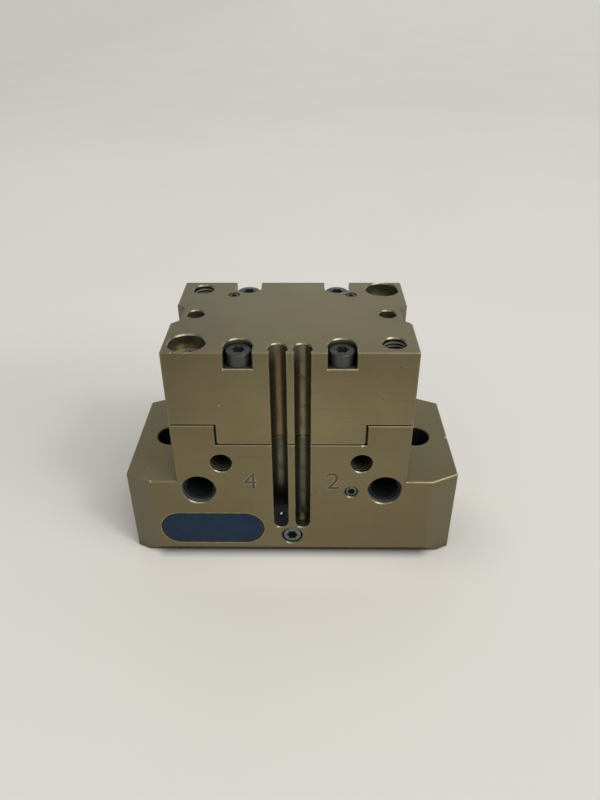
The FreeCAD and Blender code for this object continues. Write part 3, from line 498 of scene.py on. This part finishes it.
def ring(tree, radius, points=64):
    inputs = {"Radius": radius, "Resolution": points}
    return addNode(tree, "GeometryNodeCurvePrimitiveCircle", inputs).outputs[0]


def fill(tree, *curves):
    joined = addNode(tree, "GeometryNodeJoinGeometry", {"Geometry": list(curves)})
    return addNode(tree, "GeometryNodeFillCurve", {"Curve": joined.outputs[0]}, mode="NGONS").outputs[0]


def bands(tree, rings, points=64):
    shapes = []
    for (lowRadius, lowHeight), (highRadius, highHeight) in zip(rings, rings[1:]):
        inputs = {"Vertices": points, "Radius Top": highRadius, "Radius Bottom": lowRadius,
                  "Depth": calc(tree, "SUBTRACT", highHeight, lowHeight)}
        shell = addNode(tree, "GeometryNodeMeshCone", inputs, fill_type="NONE").outputs["Mesh"]
        shapes.append(lift(tree, shell, lowHeight))
    return shapes


def winding(tree, radius, turns, length, steps):
    return addNode(tree, "GeometryNodeCurveSpiral", {
        "Resolution": steps, "Rotations": turns, "Start Radius": radius, "End Radius": radius,
        "Height": length}).outputs[0]


def sweep(tree, path, profile):
    inputs = {"Curve": path, "Profile Curve": profile, "Fill Caps": True}
    return addNode(tree, "GeometryNodeCurveToMesh", inputs).outputs[0]


ridgeShares = {"tall": 0.667, "wide": 0.33}  # of the height and the pitch, for a triangle round a unit circle


def threadTurns(tree, radius, height, pitch, length, steps=40):
    # a ridge that winds along Z from 0 to length, with its crest inwards where the height is negative
    path = winding(tree, radius, calc(tree, "DIVIDE", length, pitch), length, steps)
    level = addNode(tree, "GeometryNodeSetCurveNormal", {"Curve": path}, mode="Z_UP").outputs[0]
    size = addNode(tree, "ShaderNodeCombineXYZ", {
        "X": times(tree, height, ridgeShares["tall"]), "Y": times(tree, pitch, ridgeShares["wide"]),
        "Z": 1.0}).outputs[0]
    inputs = {"Geometry": ring(tree, 1.0, points=3), "Scale": size}
    ridge = addNode(tree, "GeometryNodeTransform", inputs).outputs[0]
    return sweep(tree, level, ridge)


def makeThreadTree():
    tree, given = newTree("threadedHole", ["Radius", "Ridge", "Pitch", "Length"])
    turns = threadTurns(tree, given["Radius"], given["Ridge"], given["Pitch"], given["Length"])
    return endTree(tree, given, [lift(tree, turns, times(tree, given["Length"], -1.0))])


def makeScrewTree():
    names = ["Head Radius", "Head Height", "Foot Radius", "Edge", "Socket Radius", "Lobe", "Socket Depth",
             "Shank Radius", "Ridge", "Pitch", "Length"]
    tree, given = newTree("socketScrew", names, ["Socket Sides"])
    head, edge, foot, shank = (given[key] for key in ("Head Radius", "Edge", "Foot Radius", "Shank Radius"))
    drop = times(tree, given["Head Height"], -1.0)
    end = calc(tree, "SUBTRACT", drop, given["Length"])
    rounded = []
    for angle in (0, 30, 60, 90):
        turn = math.radians(angle)
        back = times(tree, edge, 1 - math.cos(turn))
        rounded.append((calc(tree, "SUBTRACT", head, back), times(tree, edge, math.sin(turn) - 1)))
    inner = rounded[-1][0]

    # six lobes come from a wave round the socket's rim
    spot = addNode(tree, "GeometryNodeInputPosition").outputs[0]
    parts = spread(tree, spot)
    angle = times(tree, calc(tree, "ARCTAN2", parts["Y"], parts["X"]), 6.0)
    wave = calc(tree, "ADD", times(tree, calc(tree, "COSINE", angle), given["Lobe"]), 1.0)
    moved = addNode(tree, "ShaderNodeVectorMath", {0: spot, "Scale": wave}, operation="SCALE").outputs[0]
    plain = ring(tree, given["Socket Radius"], given["Socket Sides"])
    star = addNode(tree, "GeometryNodeSetPosition", {"Geometry": plain, "Position": moved}).outputs[0]
    top = fill(tree, ring(tree, inner), star)
    pocket = addNode(tree, "GeometryNodeExtrudeMesh", {
        "Mesh": fill(tree, star), "Offset Scale": times(tree, given["Socket Depth"], -1.0),
        "Individual": False}).outputs[0]

    under = lift(tree, fill(tree, ring(tree, foot), ring(tree, shank)), drop)
    tip = lift(tree, fill(tree, ring(tree, shank)), end)
    turns = threadTurns(tree, shank, given["Ridge"], given["Pitch"], given["Length"], steps=24)
    shells = bands(tree, [(shank, end), (shank, drop)]) + bands(tree, [(foot, drop)] + rounded)
    return endTree(tree, given, [top, pocket, under, tip, lift(tree, turns, end)] + shells)


def makeSpringTree():
    tree, given = newTree("coilSpring", ["Coil Radius", "Wire Radius", "Turns", "Height"])
    path = winding(tree, given["Coil Radius"], given["Turns"], given["Height"], steps=48)
    share = addNode(tree, "GeometryNodeSplineParameter").outputs["Factor"]
    rise = addNode(tree, "ShaderNodeFloatCurve", {"Value": share})
    points = rise.mapping.curves[0].points
    points[0].location, points[1].location = (0, 0), (1, 1)
    for spot in ((0.14, 0.045), (0.86, 0.955)):  # closed end turns
        points.new(*spot)
    rise.mapping.update()
    parts = spread(tree, addNode(tree, "GeometryNodeInputPosition").outputs[0])
    height = times(tree, rise.outputs[0], given["Height"])
    inputs = {"X": parts["X"], "Y": parts["Y"], "Z": height}
    moved = addNode(tree, "ShaderNodeCombineXYZ", inputs).outputs[0]
    coil = addNode(tree, "GeometryNodeSetPosition", {"Geometry": path, "Position": moved}).outputs[0]
    return endTree(tree, given, [sweep(tree, coil, ring(tree, given["Wire Radius"], points=14))])


def runTree(tree, name, kit):
    mesh = bpy.data.meshes.new(name)
    mesh.from_pydata([Vector(spot) * mm for spot in kit["spots"]], [], [])
    made = newObject(name, mesh)
    step = made.modifiers.new("build", "NODES")
    step.node_group = tree
    plain = ("Lobe", "Socket Sides", "Turns")  # not in millimetres
    given = {key: value * (1 if key in plain else mm) for key, value in kit.items() if key[0].isupper()}
    given.update({"Rotation": kit["turn"], "Material": kit["finish"]})
    for item in tree.interface.items_tree:
        if item.in_out == "INPUT" and item.name in given:
            step[item.identifier] = given[item.name]
    finalMesh(made)
    settle(made.data, angle=35, turnOut=True)
    place(made, kit["body"], kit.get("node"), kit["slot"])
    print(name, len(made.data.polygons))
    return made


threadTree = makeThreadTree()
screwTree = makeScrewTree()
springTree = makeSpringTree()
toTop = (0, 0, 0)
toFront = (math.pi / 2, 0, 0)
toFloor = (math.pi, 0, 0)
print("node trees made")

# Both housings, with the port numbers cut in and the slots, bores and rims finished apart, in mm
marks = {
    "tall": 4.9, "depth": 0.20, "x": 9.8, "z": 24.35, "y": -18.8, "skin": 0.01,
    "words": {-1: "4", 1: "2"},  # left and right
}
slots = {"x": 2.65, "half": 2.25, "front": -18.62, "back": -14.3, "top": 58.7}
sideBores = {"x": 22.25, "z": 21.35, "radius": 4.05, "front": -18.55, "back": -7.0, "step": -17.35}
ports = {"x": 16.4, "z": 29.45, "radius": 2.55, "front": -18.58, "back": -8.0}
plugRims = {"spots": [(0, 6.55, 2.85), (14.3, 20.85, 1.85)], "front": -18.79, "back": -17.0}
wingBores = {"x": 31.3, "radius": 4.05, "rim": 23.7}
topBores = {"low": 40.0, "high": 58.5, "spots": [(22.3, -14.4, 2.55), (-22.3, 14.4, 2.55)]}
sleeves = {"low": 40.0, "high": 58.5, "spots": [(-22.3, -14.4, 4.05), (22.3, 14.4, 4.05)], "flat": 0.9}
pinBores = {"low": 40.0, "high": 58.5, "spots": [(-22.3, 0, 2.05), (22.3, 0, 2.05)]}
topRims = {
    "low": 58.5, "high": 58.79, "edge": 18.5,
    "spots": [(-22.3, -14.4, 4.4), (22.3, 14.4, 4.4), (22.3, -14.4, 2.9), (-22.3, 14.4, 2.9),
              (-22.3, 0, 2.4), (22.3, 0, 2.4), (-11.1, -15.5, 3.3), (11.1, -15.5, 3.3),
              (-11.1, 15.5, 3.3), (11.1, 15.5, 3.3), (-2.65, -16.7, 2.4), (2.65, -16.7, 2.4)],
}
frontRims = {
    "front": -18.79, "back": -18.6,
    "spots": [(16.4, 29.45, 2.8), (22.25, 21.35, 4.4), (2.65, 11.25, 2.2)],
}
recess = {"x": 11.1, "half": 2.75, "low": 54.5, "high": 54.79, "front": -18.5}
seam = {
    "outer": 40.22, "inner": 34.82, "step": 17.15, "band": 0.45,
    "face": 18.79, "rise": 0.12, "edge": 0.18,
}
footBevel = {
    "top": 2.65, "steep": 0.92, "low": 0.5, "from": 16.4, "near": 0.05, "move": 0.75,
    "corner": 2.097,  # run along X for each millimetre along Y
}
turned = 0.3  # least share of a normal that counts as turned that way


def inSlot(spot, normal):
    inside = slots["front"] < spot.y < slots["back"] and spot.z < slots["top"]
    return inside and abs(abs(spot.x) - slots["x"]) < slots["half"]


def inFrontBore(bore, spot):
    away = math.hypot(abs(spot.x) - bore["x"], spot.z - bore["z"])
    return away < bore["radius"] and bore["front"] < spot.y < bore["back"]


def inTopBore(bores, spot):
    inside = bores["low"] < spot.z < bores["high"]
    return inside and any(math.hypot(spot.x - x, spot.y - y) < radius for x, y, radius in bores["spots"])


def inTopRim(spot, normal):
    return inTopBore(topRims, spot) and normal.z > turned and abs(spot.y) < topRims["edge"]


def inFrontRim(spot, normal):
    near = any(math.hypot(abs(spot.x) - x, spot.z - z) < radius for x, z, radius in frontRims["spots"])
    return near and frontRims["front"] < spot.y < frontRims["back"] and normal.y < -turned


def inDeepBore(spot, normal):  # past the step of the side holes, and the holes in the wings
    behind = inFrontBore(sideBores, spot) and spot.y > sideBores["step"]
    inWing = math.hypot(abs(spot.x) - wingBores["x"], spot.y) < wingBores["radius"]
    return behind or (inWing and spot.z < wingBores["rim"])


def inPlugRim(spot, normal):
    near = any(math.hypot(spot.x - x, spot.z - z) < radius for x, z, radius in plugRims["spots"])
    return near and plugRims["front"] < spot.y < plugRims["back"]


def inFootBevel(spot, normal):
    return spot.z < footBevel["top"] and turned < -normal.z < footBevel["steep"]


def inRecessEdge(spot, normal):
    level = recess["low"] < spot.z < recess["high"] and spot.y < recess["front"]
    return level and abs(abs(spot.x) - recess["x"]) < recess["half"] and normal.z > turned


def inMark(spot, normal):
    near = max(abs(abs(spot.x) - marks["x"]), abs(spot.z - marks["z"])) < marks["tall"]
    return near and marks["y"] + marks["skin"] < spot.y < marks["y"] + 2 * marks["depth"]


def inSeam(spot, normal):  # the turned-in lower edges of the block, painted with the joint's shade
    level = min(abs(spot.z - seam["outer"]), abs(spot.z - seam["inner"]))
    under = normal.z < -turned and level < seam["band"]
    besides = abs(abs(spot.x) - seam["step"]) < seam["band"] and spot.z < seam["outer"]
    return under or (besides and abs(normal.x) > turned)


def widenSeam(mesh):  # a longer bevel along the joint on the long faces
    step = seam["step"] - seam["edge"]
    for vertex in mesh.vertices:
        x, y, z = vertex.co / mm
        if abs(y) < seam["face"] or z > seam["outer"] + 2 * seam["edge"]:
            continue
        if abs(abs(x) - step) < seam["edge"]:
            vertex.co.x -= math.copysign(seam["rise"] * mm, x)
        if z > seam["outer"] or z < seam["inner"] + 2 * seam["edge"]:
            vertex.co.z += seam["rise"] * mm


def steepenFoot(mesh):  # the bevel under the long faces, moved out along the corner faces
    for vertex in mesh.vertices:
        x, y, z = vertex.co / mm
        if z < footBevel["low"] and abs(abs(y) - footBevel["from"]) < footBevel["near"]:
            vertex.co.y += math.copysign(footBevel["move"] * mm, y)
            vertex.co.x -= math.copysign(footBevel["move"] * footBevel["corner"] * mm, x)


housing = copyNode("housing", "housingBody")
steepenFoot(housing.data)
cutters = []
for side, body in marks["words"].items():
    spot = Vector((side * marks["x"] * mm, marks["y"] * mm, marks["z"] * mm))
    cutters.append(textCutter(body, marks["tall"] * mm, marks["depth"] * mm, spot, toFront))
engrave(housing, cutters)
dress(housing, "housing", anodised, [
    (slotWall, inSlot),
    (boreSteel, lambda spot, normal: inFrontBore(sideBores, spot)),
    (markShade, inMark),
    (boreOlive, lambda spot, normal: inFrontBore(ports, spot)),
    (deepShade, inDeepBore),
    (ringOlive, inPlugRim),
    (rimBright, inFrontRim),
    (footShade, inFootBevel),
])
block = copyNode("spring_housing", "springHousingBody")
widenSeam(block.data)
dress(block, "spring_housing", anodisedBlock, [
    (slotWall, inSlot),
    (boreOlive, lambda spot, normal: inTopBore(topBores, spot)),
    (seamShade, inSeam),
    (sleeveOlive, lambda spot, normal: inTopBore(sleeves, spot)),
    (rubbedEdgeHighlight, inRecessEdge),
    (rimBright, inTopRim),
    (sleeveFloor, lambda spot, normal: inTopBore(sleeves, spot) and normal.z > sleeves["flat"]),
    (pinOlive, lambda spot, normal: inTopBore(pinBores, spot)),
])
print("housings done", len(housing.data.polygons), len(block.data.polygons))

# Thread turns in the tapped holes
blockThread = {"body": "housing", "slot": "anodised", "Radius": 2.52, "Pitch": 0.8}
jawThread = {
    "slot": "jaw_steel", "finish": jawSteel, "turn": toTop,
    "Radius": 2.02, "Ridge": -0.46, "Pitch": 0.7, "Length": 5.5,
}
tapped = {
    "topThreads": {
        **blockThread, "finish": cutThread, "turn": toTop, "Ridge": -0.60, "Length": 13.0,
        "spots": [(22.3, -14.4, 58.12), (-22.3, 14.4, 58.12)],
    },
    "sleeveThreads": {
        **blockThread, "finish": cutThread, "turn": toTop, "Ridge": -0.52, "Length": 10.2,
        "spots": [(-22.3, -14.4, 55.3), (22.3, 14.4, 55.3)],
    },
    "portThreads": {
        **blockThread, "finish": portThread, "turn": toFront, "Ridge": -0.56, "Length": 6.0,
        "spots": [(-16.4, -18.2, 29.45), (16.4, -18.2, 29.45)],
    },
    "fingerThreadsLeft": {**jawThread, "body": "jaw_left", "spots": [(x, 0, 8.2) for x in (-18, -32)]},
    "fingerThreadsRight": {**jawThread, "body": "jaw_right", "spots": [(x, 0, 8.2) for x in (18, 32)]},
}
for name, kit in tapped.items():
    runTree(threadTree, name, kit)
print("threads done")

# Screws and plugs, all from one tree
smallPlug = {
    "body": "housing", "slot": "black_oxide", "finish": plugSteel,
    "Head Radius": 1.34, "Head Height": 0.6, "Foot Radius": 1.34, "Edge": 0.18,
    "Socket Radius": 0.92, "Lobe": 0.0, "Socket Sides": 6, "Socket Depth": 1.5,
    "Shank Radius": 1.24, "Ridge": 0.22, "Pitch": 0.5, "Length": 2.9,
}
screws = {
    "clampScrews": {
        "node": "clamp_screws", "body": "housing", "slot": "black_oxide", "finish": blackOxide,
        "turn": toTop, "spots": [(x, y, 57.8) for x in (-11.1, 11.1) for y in (-15.5, 15.5)],
        "Head Radius": 2.84, "Head Height": 3.0, "Foot Radius": 2.80, "Edge": 0.24,
        "Socket Radius": 1.34, "Lobe": 0.13, "Socket Sides": 96, "Socket Depth": 1.6,
        "Shank Radius": 1.24, "Ridge": 0.24, "Pitch": 0.5, "Length": 25.0,
    },
    "topPlugs": {
        **smallPlug, "node": "top_port_plugs", "finish": flushSteel, "turn": toTop,
        "spots": [(x, 10.95, 58.7) for x in (-14.4, 14.4)], "Socket Radius": 0.62, "Socket Depth": 0.5,
    },
    "sidePlug": {**smallPlug, "node": "side_plug", "turn": toFront, "spots": [(14.3, -18.45, 20.85)]},
    "purgePlug": {
        "node": "purge_plug", "body": "housing", "slot": "black_oxide", "finish": plugSteel,
        "turn": toFront, "spots": [(0, -18.45, 6.55)],
        "Head Radius": 2.32, "Head Height": 0.7, "Foot Radius": 2.32, "Edge": 0.36,
        "Socket Radius": 1.22, "Lobe": 0.13, "Socket Sides": 96, "Socket Depth": 2.0,
        "Shank Radius": 2.1, "Ridge": 0.36, "Pitch": 0.8, "Length": 3.1,
    },
    "stopScrew": {
        "node": "sensor_stop_screw", "body": "housing", "slot": "bright_steel", "finish": glintSteel,
        "turn": toFront, "spots": [(-2.65, -18.6, 13.6)],
        "Head Radius": 0.50, "Head Height": 0.5, "Foot Radius": 0.50, "Edge": 0.42,
        "Socket Radius": 0.05, "Lobe": 0.0, "Socket Sides": 6, "Socket Depth": 0.1,
        "Shank Radius": 0.44, "Ridge": 0.12, "Pitch": 0.35, "Length": 2.9,
    },
    "coverScrews": {
        "node": "cover_screws", "body": "housing", "slot": "black_oxide", "finish": blackOxide,
        "turn": toFloor, "spots": [(0, y, 0.3) for y in (-12.9, 12.9)],
        "Head Radius": 1.84, "Head Height": 0.95, "Foot Radius": 0.95, "Edge": 0.06,
        "Socket Radius": 0.62, "Lobe": 0.13, "Socket Sides": 96, "Socket Depth": 0.6,
        "Shank Radius": 0.80, "Ridge": 0.16, "Pitch": 0.4, "Length": 3.7,
    },
}
for name, kit in screws.items():
    runTree(screwTree, name, kit)
print("screws done")

# Closing springs, built at one length on the housing
springs = {
    "node": "closing_springs", "body": "housing", "slot": "spring_steel", "finish": springSteel,
    "turn": toTop, "spots": [(x, y, 25.65) for x in (-8.6, 8.6) for y in (-4.4, 4.4)],
    "Coil Radius": 2.3, "Wire Radius": 0.45, "Turns": 6.0, "Height": 18.68,
}
coils = runTree(springTree, "closingSprings", springs)
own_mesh(coils)
print("springs done")

# Label plate with a dark border
label = {
    "x": -19.75, "z": 9.1, "half": 12.85, "round": 4.85, "steps": 24,
    "back": -18.5, "front": -18.75, "border": 0.75,
}


def makeLabel():
    outline = []
    run = label["half"] - label["round"]
    for side in (1, -1):
        for i in range(label["steps"] + 1):
            angle = side * math.pi / 2 - math.pi * i / label["steps"]
            outline.append((label["x"] + side * run + label["round"] * math.cos(angle),
                            label["z"] + label["round"] * math.sin(angle)))
    bm = bmesh.new()
    back = [bm.verts.new((x * mm, label["back"] * mm, z * mm)) for x, z in outline]
    front = [bm.verts.new((x * mm, label["front"] * mm, z * mm)) for x, z in outline]
    bm.faces.new(back)
    panel = bm.faces.new(front)
    for i in range(len(back)):
        j = (i + 1) % len(back)
        bm.faces.new((back[i], back[j], front[j], front[i]))
    bmesh.ops.recalc_face_normals(bm, faces=bm.faces)
    bmesh.ops.inset_region(bm, faces=[panel], thickness=label["border"] * mm)
    for face in bm.faces:
        face.material_index = 0 if face is panel else 1
    mesh = bpy.data.meshes.new("labelPlate")
    bm.to_mesh(mesh)
    bm.free()
    return newObject("labelPlate", settle(mesh))


place(makeLabel(), "housing", "label_plate", "label", labelBlue, labelRim)
print("label done")

# The CAD pieces that stay take their finish from the record
finishes = {
    "jaw_steel": jawSteel, "black_oxide": blackOxide, "bright_steel": brightSteel,
    "bare_aluminium": bareAluminium, "bush_bronze": bushBronze, "seal_rubber": sealRubber,
    "stop_plastic": stopPlastic,
}
for item in frame["record"]["subparts"]:
    node = nodes[item["node"]]
    if not node.hide_render:
        node.data.materials.clear()
        node.data.materials.append(finishes[item["material_slot"]])
print("finishes assigned")

# Floor, light and camera, in metres
floorLook = {
    "size": 14.0, "colour": (0.706, 0.675, 0.634, 1), "rough": 0.6, "gloss": 0.2,
    "clouds": 9, "cloudTone": (0.985, 1.015),
    "near": -0.12, "far": 0.7, "fade": 0.83, "left": -0.5, "right": 0.0, "leftFade": 0.915,
    "shades": [((-0.10, 0.05, 0), 0.085, 0.88), ((0.040, -0.010, 0), 0.022, 0.84)],  # painted shadows: spot, reach, tone
    "front": (0, 0.0235, 0), "frontReach": 0.013, "frontLift": 1.11, "frontScale": (0.25, 1, 1),
    "base": (0.032, 0.0168, 0), "contactReach": 0.0034, "contact": 0.32,
}


def makeFloor():
    half = floorLook["size"] / 2
    mesh = bpy.data.meshes.new("floor")
    corners = [(-half, -half, 0), (half, -half, 0), (half, half, 0), (-half, half, 0)]
    mesh.from_pydata(corners, [], [(0, 1, 2, 3)])
    look = {"Roughness": floorLook["rough"], "Specular_IOR_Level": floorLook["gloss"]}
    material, tree, shader, coords = startMaterial("floorPaper", **look)
    parts = spread(tree, coords)
    tone = sway(tree, noise(tree, coords, floorLook["clouds"], 3), *floorLook["cloudTone"])
    # painted shadows round the part
    for spot, reach, dark in floorLook["shades"]:
        dim = remap(tree, vector(tree, "DISTANCE", coords, spot), 0, reach, dark, 1.0, "SMOOTHSTEP")
        tone = times(tree, tone, dim)
    # painted shade further away and to the left, a painted pool of light in front of the part and a painted
    # contact shadow along its foot
    fade = remap(tree, parts["Y"], floorLook["near"], floorLook["far"], 1.0, floorLook["fade"])
    across = remap(tree, parts["X"], floorLook["left"], floorLook["right"], floorLook["leftFade"], 1.0)
    ahead = vector(tree, "LENGTH", stretch(tree, coords, floorLook["frontScale"], floorLook["front"]))
    paler = remap(tree, ahead, 0, floorLook["frontReach"], floorLook["frontLift"], 1.0, "SMOOTHSTEP")
    beyond = vector(tree, "SUBTRACT", vector(tree, "ABSOLUTE", coords), floorLook["base"])
    gap = vector(tree, "LENGTH", vector(tree, "MAXIMUM", beyond))
    contact = remap(tree, gap, 0, floorLook["contactReach"], floorLook["contact"], 1.0)
    for factor in (fade, across, paler, contact):
        tone = times(tree, tone, factor)
    tree.links.new(shade(tree, floorLook["colour"], tone), shader.inputs["Base Color"])
    mesh.materials.append(material)
    floor = newObject("floor", mesh)


makeFloor()
skyLook = {
    "colour": (0.95, 1.0, 1.01, 1), "ceiling": 0.40, "backdrop": 0.71, "low": 0.37, "high": 0.66,
    "left": 0.80, "right": 1.20, "front": 0.78, "back": 1.22, "span": 0.8,
}


def makeSky():
    world = bpy.data.worlds.new("studio")
    world.use_nodes = True
    scene.world = world
    tree = world.node_tree
    ray = spread(tree, addNode(tree, "ShaderNodeTexCoord").outputs["Generated"])
    ends = (skyLook["low"], skyLook["high"], skyLook["backdrop"], skyLook["ceiling"])
    level = remap(tree, ray["Z"], *ends, "SMOOTHSTEP")
    across = remap(tree, ray["X"], -skyLook["span"], skyLook["span"], skyLook["left"], skyLook["right"])
    along = remap(tree, ray["Y"], -skyLook["span"], skyLook["span"], skyLook["front"], skyLook["back"])
    sky = tree.nodes["Background"]
    sky.inputs["Color"].default_value = skyLook["colour"]
    tree.links.new(times(tree, times(tree, level, along), across), sky.inputs["Strength"])


makeSky()
lampColour = (1.0, 0.985, 0.955)
lamps = {
    "keyLamp": {"from": (0.52, -0.43, 0.74), "energy": 1.50, "angle": 46},
    "fillLamp": {"from": (-0.20, -0.55, 0.81), "energy": 0.50, "angle": 50},
    "glintLamp": {"from": (0.58, -0.44, 0.69), "energy": 0.45, "angle": 9},
}
for name, kit in lamps.items():
    data = bpy.data.lights.new(name, "SUN")
    data.energy = kit["energy"]
    data.angle = math.radians(kit["angle"])
    data.color = lampColour
    lamp = newObject(name, data)
    lamp.rotation_euler = Vector(kit["from"]).to_track_quat("Z", "Y").to_euler()

shot = {
    "spot": (3.6, -138.9, 124.4), "yaw": -0.72, "pitch": 32.76, "roll": -0.25,  # mm and degrees
    "focal": 655.5, "tall": 800, "sensor": 36.0,  # focal length and height of the picture in pixels
    "clip": (0.01, 50.0),
}


def makeCamera():
    yaw, pitch, roll = (math.radians(shot[key]) for key in ("yaw", "pitch", "roll"))
    ahead = Vector((math.sin(yaw) * math.cos(pitch), math.cos(yaw) * math.cos(pitch), -math.sin(pitch)))
    right = Vector((math.cos(yaw), -math.sin(yaw), 0))
    up = right.cross(ahead)
    across = math.cos(roll) * right + math.sin(roll) * up
    above = -math.sin(roll) * right + math.cos(roll) * up
    turn = Matrix((across, above, -ahead)).transposed().to_4x4()
    data = bpy.data.cameras.new("camera")
    data.sensor_width = shot["sensor"]
    data.lens = shot["sensor"] * shot["focal"] / shot["tall"]
    data.clip_start, data.clip_end = shot["clip"]
    camera = newObject("camera", data)
    camera.matrix_world = Matrix.Translation(Vector(shot["spot"]) * mm) @ turn
    scene.camera = camera


makeCamera()
print("stage set")
